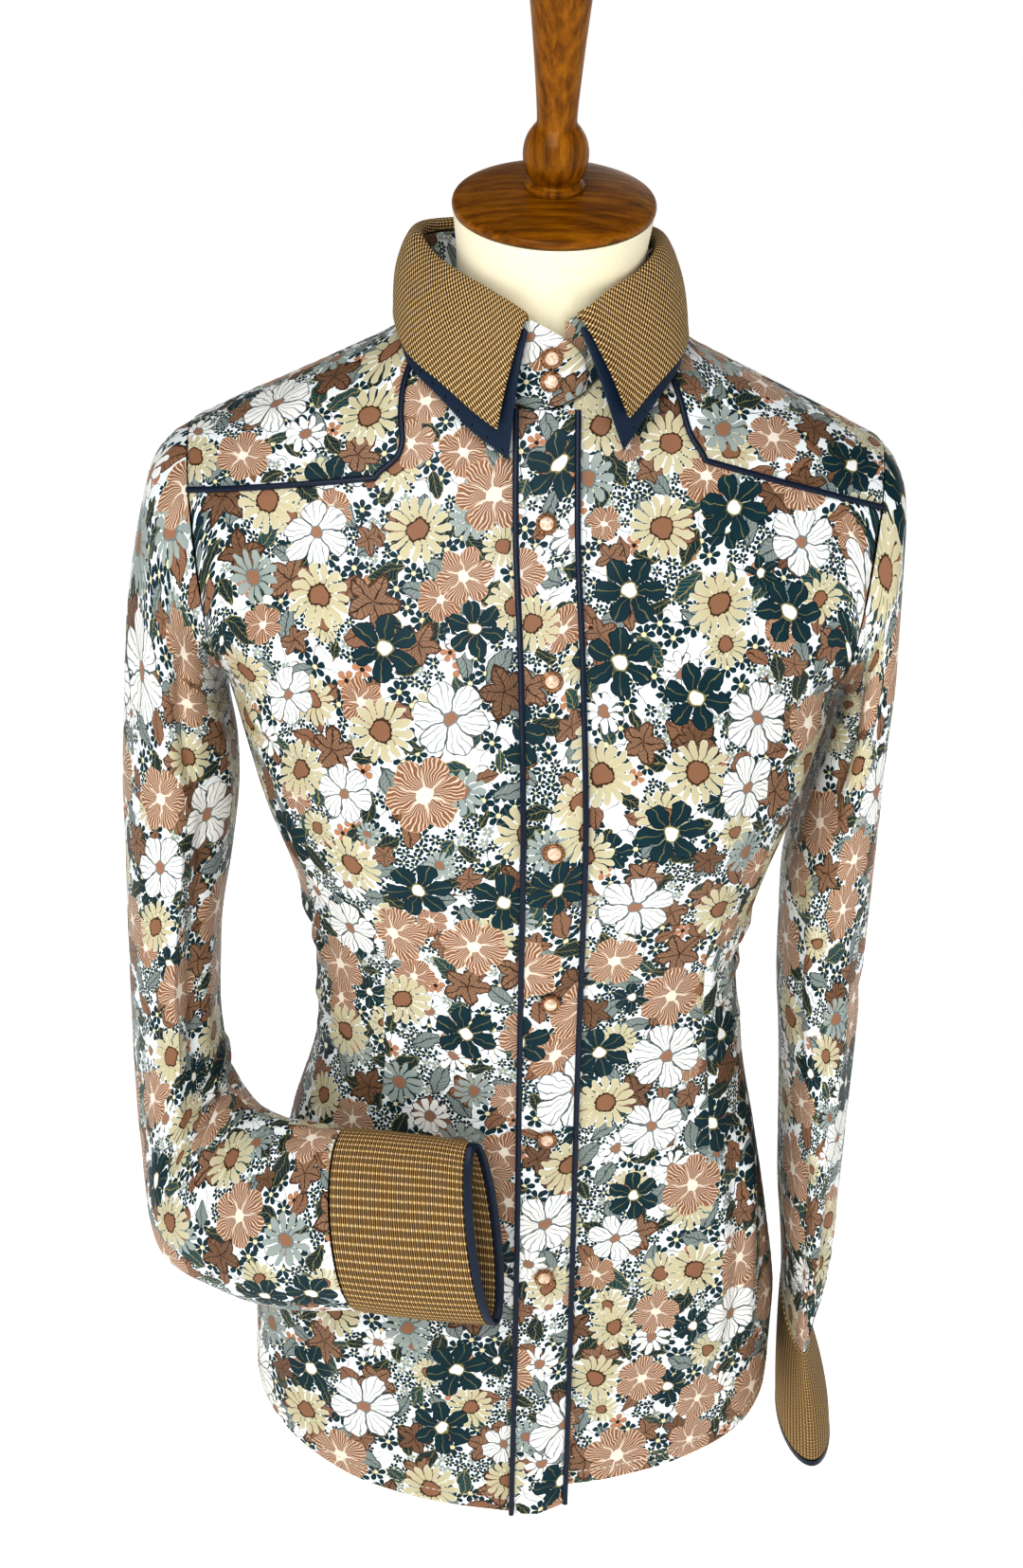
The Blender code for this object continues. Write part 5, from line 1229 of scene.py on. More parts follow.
def facing(centre, axis):
    """Return the matrix that turns +Z to an axis, keeps a piece upright and sets it at a centre."""
    across = unit(np.cross(axis, (0, 0, 1)))
    beside = np.cross(axis, across)
    turn = Matrix([(*row, 0) for row in np.stack([across, beside, axis], axis=1).tolist()] + [(0, 0, 0, 1)])
    return Matrix.Translation(Vector(centre)) @ turn


def model_crown():
    """Model one copper crown: a flat rim, a raised ring and the prongs folded down round it."""
    reach = SNAP_RADIUS * 0.86
    profile = [(reach, 0), (SNAP_RADIUS * 0.95, 0.0001), (SNAP_RADIUS * 0.97, 0.0005), (reach, 0.0008),
               (PEARL_RADIUS * 0.8, 0.0009)]
    crown = turned("crown", profile, PRONGS * 3, copper_crown())
    bpy.ops.object.mode_set(mode="EDIT")
    bpy.ops.mesh.primitive_torus_add(major_radius=PEARL_RADIUS + 0.0006, minor_radius=0.0005,
                                     major_segments=PRONGS * 3, minor_segments=8, location=(0, 0, 0.0014))
    for prong in range(PRONGS):
        angle = 2 * math.pi * prong / PRONGS
        bpy.ops.mesh.select_all(action="DESELECT")
        bpy.ops.mesh.primitive_uv_sphere_add(
            segments=8, ring_count=6, radius=0.00078, scale=(1.25, 0.86, 0.9), rotation=(0, 0, angle),
            location=(reach * math.cos(angle), reach * math.sin(angle), 0.0011))
    bpy.ops.object.mode_set(mode="OBJECT")
    bpy.ops.object.shade_smooth_by_angle(angle=math.radians(40))
    crown.data.materials.clear()
    crown.data.materials.append(copper_crown())
    for face in crown.data.polygons:
        face.material_index = 0
    return crown


def model_pearl():
    """Model one pearl dome, its flat back on the origin."""
    profile = [(PEARL_RADIUS * 0.96, 0.0002), (PEARL_RADIUS, 0.0006)]
    profile += [(PEARL_RADIUS * math.cos(turn), PEARL_RIM + (PEARL_HEIGHT - PEARL_RIM) * math.sin(turn))
                for turn in np.linspace(0, math.pi / 2 * 0.95, 10)]
    return turned("pearl", profile, 40, pearl())


def copy_at(model, name, place):
    """Copy a model with a mesh of its own and set it in its place."""
    copy = model.copy()
    copy.data = model.data.copy()
    copy.name = copy.data.name = name
    bpy.context.collection.objects.link(copy)
    return stand_at(copy, place)


def snap_places():
    """Return the centre and the axis of each snap: two on the stand's end, six down the placket."""
    turn = OVER_ANGLE + STAND_SNAP_TURN
    outer, _ = stand_grids((turn - 0.05, turn, turn + 0.05))
    column = outer[:, 1]
    axis = unit(np.cross(outer[1, 2] - outer[1, 0], column[-1] - column[0]))
    axis *= -np.sign(axis[1])
    found = [(read_line(column, column[:, 2], z) + axis * STAND_SNAP_LIFT, axis) for z in STAND_SNAPS]
    for z in SNAP_LEVELS:
        point, normal = FRONT.raised((share_at(middle_at(z).x, z), z))
        found.append((point + normal * (PLACKET_LIFT + CLOTH + SNAP_LIFT), normal))
    return found


def add_stitches(name, path, normals, material, length, gap):
    """Sew a row of stitches along a path, each a small rounded bar half sunk in the cloth."""
    run = run_along(path)
    count = max(1, int(run[-1] / (length + gap)))
    middles = (np.arange(count) + 0.5) * run[-1] / count
    up = unit(read_line(normals, run, middles))
    along = unit(read_line(path, run, middles + length) - read_line(path, run, middles - length))
    side = np.cross(up, along)
    centre = read_line(path, run, middles)
    centre, up, along, side = (part[:, None, None] for part in (centre, up, along, side))
    angle = np.arange(STITCH_SIDES)[:, None] * 2 * math.pi / STITCH_SIDES
    reach, size = np.array(STITCH_PROFILE).T[:, :, None, None]
    points = (centre + along * length * reach
              + (side * np.cos(angle) + up * (np.sin(angle) * 0.8 + 0.15)) * STITCH_THICKNESS * size)
    rings = len(STITCH_PROFILE)
    rows, columns = corners(rings, STITCH_SIDES)
    bar = (rows * STITCH_SIDES + columns % STITCH_SIDES).tolist()
    bar += [range(STITCH_SIDES), range((rings - 1) * STITCH_SIDES, rings * STITCH_SIDES)]
    faces = [[rings * STITCH_SIDES * number + corner for corner in face]
             for number in range(count) for face in bar]
    return add_mesh(name, points.reshape(-1, 3), faces, material)


def add_form_body():
    """Make the torso and neck under their jersey, from the ring table read finely."""
    heights = np.concatenate([[row.z for row in FORM[:3]], np.linspace(0.03, FORM[-1].z, 120)])[:, None]
    ring = reader(FORM)(heights)
    angles = np.arange(FORM_SIDES) * 2 * math.pi / FORM_SIDES
    sine, cosine = np.sin(angles), np.cos(angles)
    depth = np.where(cosine > 0, ring.back, ring.front)
    reach = (np.abs(sine / ring.half_width) ** ring.square
             + np.abs(cosine / depth) ** ring.square) ** (-1 / ring.square)
    lean, y = np.radians(ring.lean), reach * cosine
    rings = np.stack([ring.centre_x + reach * sine, ring.centre_y + y * np.cos(lean),
                      heights + y * np.sin(lean)], axis=-1)
    settle(add_bar("form_jersey", rings, jersey()), "jersey", "form_body")


def add_cap_and_finial():
    """Turn the neck's wooden cap, and the ball and tapered handle on it."""
    seat = Vector((FORM[-1].centre_x, FORM[-1].centre_y, FORM[-1].z))
    lean = Matrix.Rotation(NECK_LEAN, 4, "X")
    up = lean @ Vector((0, 0, 1))
    disc = turned_wood("Varnished beech disc", (0.12, 1, 1))
    handle = turned_wood("Varnished beech handle", (1, 1, 0.08))
    for node, name, profile, rows, sides, wood, lift in (
            ("neck_cap", "wooden_cap", CAP_PROFILE, 30, 96, disc, SEAM),
            ("finial", "wooden_finial", FINIAL_PROFILE, 80, 64, handle, CAP_PROFILE[-1].height + 2 * SEAM)):
        finer = through(profile, np.linspace(0, len(profile) - 1, rows)).tolist()
        piece = stand_at(turned(name, finer, sides, wood), Matrix.Translation(seat + up * lift) @ lean)
        settle(piece, "turned_wood", node)


# -------- materials
def srgb(code):
    """Turn a hex colour into a linear one."""
    parts = [int(code[i:i + 2], 16) / 255 for i in (1, 3, 5)]
    return (*(part / 12.92 if part <= 0.04045 else ((part + 0.055) / 1.055) ** 2.4 for part in parts), 1.0)


def add_node(tree, kind, *feeds, stops=(), steps=False, **settings):
    """Add a node, feed its inputs from sockets or values, and return its main output.

    A word after the kind is its operation or data type. Capitalised settings are inputs, the others the
    node's own. stops fills a colour ramp, which blends them or, with steps, holds each up to the next."""
    kind, _, mode = kind.partition(" ")
    mixes = kind == "Mix"
    node = tree.nodes.new("ShaderNode" + kind)
    if mode:
        setattr(node, "data_type" if mixes else "operation", mode)
    inputs = dict(zip((0, 6, 7) if mixes else range(len(feeds)), feeds))
    for name, value in settings.items():
        if name[0].isupper():
            inputs[name.replace("_", " ")] = value
        else:
            setattr(node, name, value)
    for key, feed in inputs.items():
        if isinstance(feed, bpy.types.NodeSocket):
            tree.links.new(feed, node.inputs[key])
        else:
            node.inputs[key].default_value = srgb(feed) if isinstance(feed, str) else feed
    if stops:
        ramp = node.color_ramp
        ramp.interpolation = "CONSTANT" if steps else "LINEAR"
        while len(ramp.elements) < len(stops):
            ramp.elements.new(0.5)
        for element, (place, colour) in zip(ramp.elements, stops):
            element.position = place
            element.color = srgb(colour) if isinstance(colour, str) else (*colour, 1.0)
    return node.outputs[2 if mixes else 0] if node.outputs else None


def once(*usual):
    """Let a material's maker, which is given a name first, find the material again by that name.

    usual is the name where the maker always takes the same one."""
    def wrap(make):
        @wraps(make)
        def find(*given, **sizes):
            name, *others = usual + given
            return bpy.data.materials.get(name) or make(name, *others, **sizes)
        return find
    return wrap


def started(name):
    """Start a material; return it and what adds a node to it."""
    material = bpy.data.materials.new(name)
    material.use_nodes = True
    material.node_tree.nodes.clear()
    return material, partial(add_node, material.node_tree)


def finished(material, add, **sockets):
    """Give a material its shader, with its sockets set or fed, and return it."""
    add("OutputMaterial", add("BsdfPrincipled", **sockets))
    return material


# a flower of the print: the random number it starts at, its radius in mm, its petals, the share of their
# room that they fill, how blunt and how pointed they are, the share of its heart, its rays for each half
# petal, and its colours. A leaf with lobes is drawn the same way, with slanting veins for rays.
Flower = namedtuple("Flower", "start radius petals fill blunt point heart rays slant petal tip ink rim core")
ROSE = ("#966c4f", "#a07658", "#f1e5d6", "#c7aa8e", "#f0e8da")
COSMOS = ("#f1f0eb", "#f7f6f3", "#868f93", "#5f686d", "#aa846c")
TEAL = ("#15353e", "#1b424c", "#948b5a", "#0f2a32", "#f3f4f1")
CREAM = ("#cbc39f", "#d3ccb0", "#553c2a", "#e9e5d6", "#9e775d")
GREY = ("#9da8a4", "#adb6b2", "#7f8c8c", "#8c9895", "#a47d64")
MAPLE = ("#9a7a62", "#a5856c", "#432b1e", "#5e412f", "#432b1e")
RUST = ("#84664f", "#8e7059", "#38241b", "#4f3524", "#38241b")
BLOOMS = [
    Flower(0, 20, 6, 1.05, 6, 2, 0.17, 4, 0, *ROSE),
    Flower(0.31, 25, 6, 1.03, 6, 2, 0.17, 2, 0, *COSMOS),
    Flower(0.44, 18, 6, 0.94, 3.8, 1.9, 0.22, 1, 0, *TEAL),
    Flower(0.64, 17, 15, 0.86, 6, 2, 0.32, 0, 0, *CREAM),
    Flower(0.9, 14, 12, 0.84, 5, 2, 0.3, 0, 0, *GREY),
]
SPRAYS = [
    Flower(0, 17, 5, 1.55, 1.45, 1.15, 0.03, 2, 5, *MAPLE),
    Flower(0.26, 14, 15, 0.86, 6, 2, 0.32, 0, 0, *CREAM),
    Flower(0.42, 12, 10, 0.92, 3.5, 2, 0.26, 0, 0, *COSMOS),
    Flower(0.56, 15, 5, 1.55, 1.45, 1.15, 0.03, 2, 4, *RUST),
    Flower(0.7, 12, 6, 0.92, 3.6, 1.8, 0.24, 1, 0, *TEAL),
    Flower(0.79, 16, 6, 1.05, 6, 2, 0.18, 3, 0, *ROSE),
    Flower(0.91, 12, 12, 0.84, 5, 2, 0.3, 0, 0, *GREY),
]
STARS = [
    Flower(0, 6.2, 6, 0.9, 3.2, 1.9, 0.24, 0, 0, *TEAL[:4], "#e6e0bf"),
    Flower(0.9, 5.6, 5, 0.9, 3.4, 2, 0.2, 0, 0, "#b98662", "#c59878", "#6b4733", "#8a5d43", "#33221a"),
]
BERRIES = [
    Flower(0, 3.8, 6, 0.86, 3, 2, 0.24, 0, 0, *TEAL[:4], "#dfe0cc"),
    Flower(0.86, 3.4, 5, 0.86, 3.2, 2, 0.24, 0, 0, *GREY[:4], "#e6e0bf"),
]
# a layer of flowers: the distance between them in mm, how uneven it is, and how the layer is turned
Layer = namedtuple("Layer", "flowers cell uneven turn shift crowd")
BERRY_LAYER, STAR_LAYER = Layer(BERRIES, 5.8, 0.3, 0.3, 17, 1.3), Layer(STARS, 10.4, 0.35, 0.9, 31, 1.3)
SPRAY_LAYER, BLOOM_LAYER = Layer(SPRAYS, 31.0, 0.6, 1.1, 71, 1.0), Layer(BLOOMS, 43.0, 0.55, 0.2, 97, 1.1)
Leaf = namedtuple("Leaf", "start blade ink")
LEAVES = [
    Leaf(0.00, "#15353e", "#948b5a"), Leaf(0.34, "#959f9b", "#2c3a40"), Leaf(0.68, "#9d7a62", "#4b3122"),
    Leaf(0.84, "#235059", "#a99b66"),
]
LEAF_LAYER = Layer(LEAVES, 18.0, 0.6, 0.5, 53, 1.3)
FULL = 30                 # the number that a ramp's full share stands for


def spots(add, place, layer):
    """Lay out one layer's spots; return the place from each, its room and its random numbers."""
    laid = add("Mapping", Vector=place, Rotation=(0, 0, layer.turn),
               Location=(layer.shift, -layer.shift * 1.7, 0))
    cell = dict(Vector=laid, Scale=1 / layer.cell, Randomness=layer.uneven, voronoi_dimensions="2D")
    spot = add("TexVoronoi", **cell).node.outputs
    room = add("TexVoronoi", feature="N_SPHERE_RADIUS", **cell).node.outputs["Radius"]
    local = add("VectorMath SUBTRACT", laid, spot["Position"])
    room = add("Math MULTIPLY", room, layer.cell * layer.crowd)
    return local, room, add("SeparateColor", spot["Color"]).node.outputs


def pick_colours(add, chance, rows, names):
    """Read colours from a table by a random number."""
    return [add("ValToRGB", chance, steps=True, stops=[(row.start, getattr(row, name)) for row in rows])
            for name in names.split()]


def pick_numbers(add, chance, rows, names):
    """Read three numbers from a table by a random number; a ramp holds them as shares of FULL."""
    stops = [(row.start, [getattr(row, name) / FULL for name in names.split()]) for row in rows]
    shares = add("SeparateColor", add("ValToRGB", chance, steps=True, stops=stops)).node.outputs
    return [add("Math MULTIPLY", share, FULL) for share in shares]


def scatter(add, place, layer):
    """Scatter one layer of flowers; return its colour, where it covers and the place on each."""
    local, room, chance = spots(add, place, layer)
    kind, rows = chance[0], layer.flowers
    radius, petals, fill = pick_numbers(add, kind, rows, "radius petals fill")
    blunt, heart, rays = pick_numbers(add, kind, rows, "blunt heart rays")
    lean, point, _ = pick_numbers(add, kind, rows, "slant point point")
    petal, tip, ink, outline, core = pick_colours(add, kind, rows, "petal tip ink rim core")
    reach = add("VectorMath LENGTH", local).node.outputs["Value"]
    x, y, _ = add("SeparateXYZ", local).node.outputs
    turn = add("Math MULTIPLY_ADD", add("Math ARCTAN2", y, x), 1 / (2 * math.pi), chance[1])
    turn = add("Math MULTIPLY", turn, petals)
    off = add("Math MULTIPLY", add("Math PINGPONG", turn, 0.5), 2)     # 0 on a petal's axis, 1 between
    out = add("Math DIVIDE", reach, add("Math MINIMUM", radius, room))
    wide = add("Math POWER", add("Math DIVIDE", off, fill), point)
    edge = add("Math ADD", wide, add("Math POWER", out, blunt))
    inner = add("Math DIVIDE", out, heart)

    ray = add("Math MULTIPLY", add("Math MULTIPLY", rays, off), -1)
    ray = add("Math PINGPONG", add("Math MULTIPLY_ADD", lean, out, ray), 0.5)
    ray = add("Math LESS_THAN", ray, add("Math MULTIPLY", rays, 0.040))       # half a line's width
    ray = add("Math MULTIPLY", ray, 0.8)
    nerve = add("Math LESS_THAN", add("Math MULTIPLY", off, out), add("Math MULTIPLY", lean, 0.007))
    seam = add("Math MULTIPLY_ADD", add("Math SUBTRACT", 1, off), out, lean)
    seam = add("Math LESS_THAN", seam, 0.05)                           # between two petals
    rim = add("Math GREATER_THAN", edge, 0.88)
    ring = add("Math LESS_THAN", inner, add("Math MULTIPLY_ADD", off, 0.12, 1.08))
    heart = add("Math LESS_THAN", inner, 0.94)
    colour = add("Mix RGBA", out, petal, tip)
    for mask, paint in ((ray, ink), (seam, ink), (nerve, ink), (rim, outline), (ring, ink), (heart, core)):
        colour = add("Mix RGBA", mask, colour, paint)
    covers = add("Math MAXIMUM", add("Math LESS_THAN", edge, 1), ring)
    return colour, add("Math MULTIPLY", covers, add("Math LESS_THAN", out, 1)), local


def strew(add, place, layer):
    """Strew pointed leaves with a midrib and slanting veins, and return the same as scatter."""
    local, room, chance = spots(add, place, layer)
    colour, ink = pick_colours(add, chance[0], layer.flowers, "blade ink")
    spin = add("Math MULTIPLY", chance[1], 2 * math.pi)
    spun = add("VectorRotate", Vector=local, Angle=spin, rotation_type="Z_AXIS")
    x, y, _ = add("SeparateXYZ", spun).node.outputs
    half = add("Math MINIMUM", room, 11.5)
    along = add("Math DIVIDE", x, half)
    across = add("Math ABSOLUTE", y)
    wide = add("Math DIVIDE", across, half)
    edge = add("Math MULTIPLY_ADD", wide, 2.1, add("Math MULTIPLY", along, along))
    vein = add("Math PINGPONG", add("Math MULTIPLY_ADD", across, -1.1, x), 1.3)
    vein = add("Math LESS_THAN", vein, 0.22)
    rib = add("Math LESS_THAN", across, 0.28)
    rim = add("Math GREATER_THAN", edge, 0.88)
    for mask, amount in ((vein, 0.55), (rib, 0.9), (rim, 0.8)):
        colour = add("Mix RGBA", add("Math MULTIPLY", mask, amount), colour, ink)
    return colour, add("Math LESS_THAN", edge, 1), local


def on_cloth(add):
    """Return the place on the flat cloth in millimetres."""
    return add("VectorMath SCALE", add("UVMap", uv_map="UVMap"), Scale=1 / MM)


def wandering(add, place, reach, **noise):
    """Let places wander by a broad noise, as threads and hand-drawn lines do."""
    wander = add("TexNoise", Vector=place, **noise).node.outputs["Color"]
    wander = add("VectorMath SUBTRACT", wander, (0.5, 0.5, 0.5))
    return add("VectorMath ADD", place, add("VectorMath SCALE", wander, Scale=reach))


def twill(add, place):
    """Return the bump of a satin's fine slanting twill lines."""
    lines = add("TexWave", Vector=place, Scale=0.55, Distortion=0.6, bands_direction="DIAGONAL")
    return add("Bump", Strength=0.25, Distance=0.0002, Height=lines.node.outputs["Fac"])


@once("Printed cotton satin")
def printed_satin(name):
    """Cotton satin, printed all over with flowers and leaves on white."""
    # a satin weave floats its threads on the face, so light spreads in a soft sheen over the print
    material, add = started(name)
    place = on_cloth(add)
    drawn = wandering(add, place, 4.0, Scale=0.14, Detail=1.5, noise_dimensions="2D")
    colour = "#eff3f4"
    for scale, width, ink in ((0.045, 0.0045, "#4c5a5a"), (0.060, 0.0050, "#6d5340")):
        stem = add("TexNoise", Vector=drawn, Scale=scale, Detail=0.0, noise_dimensions="2D")
        stem = add("Math ABSOLUTE", add("Math SUBTRACT", stem, 0.5))
        colour = add("Mix RGBA", add("Math LESS_THAN", stem, width), colour, ink)
    # small flowers grow whole, in clusters, where a broad noise is high at their middles, or low
    for draw, layer, cluster, level in ((scatter, BERRY_LAYER, "GREATER_THAN", 0.53),
                                        (scatter, STAR_LAYER, "LESS_THAN", 0.465), (strew, LEAF_LAYER, "", 0),
                                        (scatter, SPRAY_LAYER, "", 0), (scatter, BLOOM_LAYER, "", 0)):
        motif, covers, local = draw(add, place if cluster else drawn, layer)
        if cluster:
            back = add("VectorRotate", Vector=local, Angle=-layer.turn, rotation_type="Z_AXIS")
            middle = add("VectorMath SUBTRACT", place, back)
            broad = add("TexNoise", Vector=middle, Scale=0.035, Detail=0.0, noise_dimensions="2D")
            covers = add("Math MULTIPLY", covers, add("Math " + cluster, broad, level))
        colour = add("Mix RGBA", covers, colour, motif)
    # threads are 0.15 mm apart, drawn at 0.6 mm so that they show
    weave = add("TexNoise", Vector=place, Scale=1.6, Detail=2.0, noise_dimensions="2D")
    bump = add("Bump", Strength=0.10, Distance=0.0002, Height=weave)
    return finished(material, add, Base_Color=colour, Normal=bump, Roughness=0.45, IOR=1.5,
                    Specular_IOR_Level=0.2)


@once("Navy satin")
def navy_satin(name):
    """Polyester satin, dyed navy."""
    # bias-cut satin shows a soft gleam and fine slanting twill lines
    material, add = started(name)
    place = on_cloth(add)
    uneven = add("TexNoise", Vector=place, Scale=0.35, Detail=2.0)
    return finished(material, add, Base_Color=add("Mix RGBA", uneven, "#101d30", "#1a2d47"),
                    Normal=twill(add, place), Roughness=0.35, IOR=1.5, Specular_IOR_Level=0.4)


@once("Pierced navy satin")
def undercollar_satin(name):
    """Navy satin pierced with small holes along its pinked edge."""
    # the same satin as the piping, painted a shade lighter because it lies open to the light: painted light
    material, add = started(name)
    place = on_cloth(add)
    x, y, _ = add("SeparateXYZ", place).node.outputs
    beat = add("Math SUBTRACT", add("Math PINGPONG", x, 10.0), 5.0)
    spot = add("CombineXYZ", beat, add("Math SUBTRACT", y, 3.4))
    spot = add("VectorMath LENGTH", spot).node.outputs["Value"]
    hole = add("Math LESS_THAN", spot, 0.75)
    # the base colour #1b3047 is the piping's navy lightened by painted light
    return finished(material, add, Base_Color=add("Mix RGBA", hole, "#1b3047", "#060a10"),
                    Normal=twill(add, place), Roughness=0.42, IOR=1.5, Specular_IOR_Level=0.3)


@once()
def check_cloth(name, row_pitch, rib_pitch, pale_pitch):
    """Yarn-dyed cotton check in dark brown, tan and cream."""
    # thick ribs, some paler, crossed by rows of pale dots where a cream thread floats over them
    material, add = started(name)
    place = wandering(add, on_cloth(add), 0.45, Scale=0.4, Detail=2.0)
    x, y, _ = add("SeparateXYZ", place).node.outputs
    waves = []
    for axis, pitch in ((y, rib_pitch), (y, pale_pitch), (x, row_pitch)):
        wave = add("Math SINE", add("Math MULTIPLY", axis, 2 * math.pi / pitch))
        waves.append(add("MapRange", wave, -1, 1, 0, 1))
    rib, pale, row = waves
    tone = add("Math MULTIPLY", rib, add("Math MULTIPLY_ADD", pale, 0.16, 0.34))
    dot = add("Math MULTIPLY_ADD", add("Math MULTIPLY", rib, pale), 0.45, 0.24)
    tone = add("Math MULTIPLY_ADD", add("Math POWER", row, 4.0), dot, tone)
    colour = add("ValToRGB", tone, stops=[(0.0, "#2b1c10"), (0.12, "#4b3520"), (0.30, "#9a7c51"),
                                          (0.58, "#c8a872"), (0.92, "#fdf1c8")])
    bump = add("Bump", Strength=0.5, Distance=0.0004, Height=tone)
    return finished(material, add, Base_Color=colour, Normal=bump, Roughness=0.75, IOR=1.5,
                    Specular_IOR_Level=0.25)


@once("Off-white thread")
def thread(name):
    """Spun polyester sewing thread in off-white."""
    # two twisted strands, dull and slightly fuzzy
    material, add = started(name)
    place = add("TexCoord").node.outputs["Object"]
    fuzz = add("TexNoise", Vector=place, Scale=900.0, Detail=2.0)
    return finished(material, add, Base_Color=add("Mix RGBA", fuzz, "#cfc6b4", "#efe9dc"), Roughness=0.75,
                    Sheen_Weight=0.3, IOR=1.5)


@once("Pearl acrylic")
def pearl(name):
    """Moulded acrylic with pearl flake, as in snap caps."""
    # the flake lies in clouds under a clear glossy skin, so it gleams in soft pink and cream
    material, add = started(name)
    place = add("TexCoord").node.outputs["Object"]
    cloud = add("TexNoise", Vector=place, Scale=380.0, Detail=2.0, Distortion=1.2)
    colour = add("ValToRGB", cloud, stops=[(0.3, "#cba78c"), (0.5, "#e8cdb6"), (0.7, "#f8eadc")])
    return finished(material, add, Base_Color=colour, Roughness=0.22, IOR=1.49, Coat_Weight=0.3,
                    Coat_Roughness=0.05, Subsurface_Weight=0.15, Subsurface_Scale=0.002)


@once("Copper plate")
def copper_crown(name):
    """Brass plated in antique copper."""
    # a thin bright plate on stamped brass, paler and darker in small random patches, the paler ones glossier
    material, add = started(name)
    place = add("TexCoord").node.outputs["Object"]
    plate_patches = add("TexNoise", Vector=place, Scale=700.0, Detail=3.0)
    colour = add("ValToRGB", plate_patches, stops=[(0.3, "#6a4530"), (0.65, "#c99f78")])
    rough = add("MapRange", plate_patches, 0.3, 0.7, 0.42, 0.24)
    return finished(material, add, Base_Color=colour, Roughness=rough, Metallic=1.0)


@once("Cream jersey")
def jersey(name):
    """Fine-ribbed cotton jersey in cream, stretched over the form."""
    # knitted wales run up the neck about 1 mm apart, matt and soft
    material, add = started(name)
    place = add("TexCoord").node.outputs["Object"]
    x, y, _ = add("SeparateXYZ", place).node.outputs
    wale = add("Math SINE", add("Math MULTIPLY", add("Math ARCTAN2", x, y), 300.0))
    mottle = add("TexNoise", Vector=place, Scale=240.0, Detail=3.0)
    # the colour follows the wale wave of the bump: painted shade darkens the grooves between the wales and
    # painted light brightens their crests
    colour = add("Mix RGBA", add("MapRange", wale, -1, 1, 0, 1), "#efe6c8", "#fbf6e0")
    bump = add("Bump", Strength=0.25, Distance=0.0003, Height=add("Math ADD", wale, mottle))
    return finished(material, add, Base_Color=colour, Normal=bump, Roughness=0.88, Sheen_Weight=0.25, IOR=1.5)


@once()
def turned_wood(name, stretch):
    """Turned beech, stained golden brown and varnished."""
    # long quiet streaks of grain under a thin warm coat
    material, add = started(name)
    grain = add("Mapping", Vector=add("TexCoord").node.outputs["Object"], Scale=stretch)
    streak = add("TexNoise", Vector=grain, Scale=260.0, Detail=3.0, Distortion=0.2)
    fleck = add("TexNoise", Vector=grain, Scale=1500.0, Detail=2.0)
    both = add("Math MULTIPLY_ADD", fleck, 0.3, streak)
    colour = add("ValToRGB", both, stops=[(0.40, "#5a3500"), (0.62, "#845200"), (0.88, "#a36d0a")])
    bump = add("Bump", Strength=0.08, Distance=0.0002, Height=both)
    return finished(material, add, Base_Color=colour, Normal=bump, Roughness=0.38, IOR=1.5,
                    Coat_Weight=0.12, Coat_Roughness=0.08, Specular_IOR_Level=0.15)


@once("Pale studio floor")
def studio_floor(name):
    """Matt pale vinyl, as a studio rolls out under a garment."""
    # an even pale sheet, with a little light of its own so that it stays near white
    material, add = started(name)
    tone = add("TexNoise", Vector=add("TexCoord").node.outputs["Object"], Scale=3.0, Detail=1.0)
    return finished(material, add, Base_Color=add("Mix RGBA", tone, "#eeeeec", "#f4f4f2"), Roughness=0.9,
                    Emission_Strength=0.78, Emission_Color="#ffffff")


# -------- sizes a user may change, and operators
class ShirtSettings(bpy.types.PropertyGroup):
    """What a user may change before the pieces are made."""
    stitch_length: bpy.props.FloatProperty(
        name="Stitch length", description="Length of one stitch", default=STITCH_LENGTH, min=0.001,
        max=0.006, subtype="DISTANCE", unit="LENGTH")
    stitch_gap: bpy.props.FloatProperty(
        name="Stitch gap", description="Gap between two stitches", default=STITCH_GAP, min=0.0004,
        max=0.004, subtype="DISTANCE", unit="LENGTH")
    key_power: bpy.props.FloatProperty(
        name="Key light", description="Power of the large light at the upper left", default=21.5, min=1.0,
        max=200.0, unit="POWER")
    fill_power: bpy.props.FloatProperty(
        name="Fill light", description="Power of the light from the right", default=4.0, min=0.0, max=200.0,
        unit="POWER")
    surroundings: bpy.props.FloatProperty(
        name="Surroundings", description="Brightness of the room overhead", default=0.20, min=0.0, max=3.0)


class SHIRT_OT_body(bpy.types.Operator):
    """Make the fronts, the yokes and the back"""
    bl_idname = "shirt.body"
    bl_label = "Body panels"

    def execute(self, context):
        for side, name in SIDES.items():
            add_panel("front_" + name, front_borders(side), FRONT, ("right", "top"))
            add_panel("yoke_" + name, yoke_borders(side), FRONT, ("bottom", "right", "top", "left"))
        add_panel("back", back_borders(), BACK, ("left", "right", "top"))
        return {"FINISHED"}


class SHIRT_OT_sleeves(bpy.types.Operator):
    """Make the bent right sleeve and the hanging left one"""
    bl_idname = "shirt.sleeves"
    bl_label = "Sleeves"

    def execute(self, context):
        add_sleeve(-1, SLEEVE_RIGHT, 21, FOLDS_RIGHT, SLEEVE_CREASES_RIGHT)
        add_sleeve(1, SLEEVE_LEFT, 17, FOLDS_LEFT, SLEEVE_CREASES_LEFT)
        return {"FINISHED"}


class SHIRT_OT_cuffs(bpy.types.Operator):
    """Make the check cuffs with their navy bindings"""
    bl_idname = "shirt.cuffs"
    bl_label = "Cuffs"

    def execute(self, context):
        add_cuff(-1, CUFF_RIGHT)
        add_cuff(1, CUFF_LEFT)
        return {"FINISHED"}


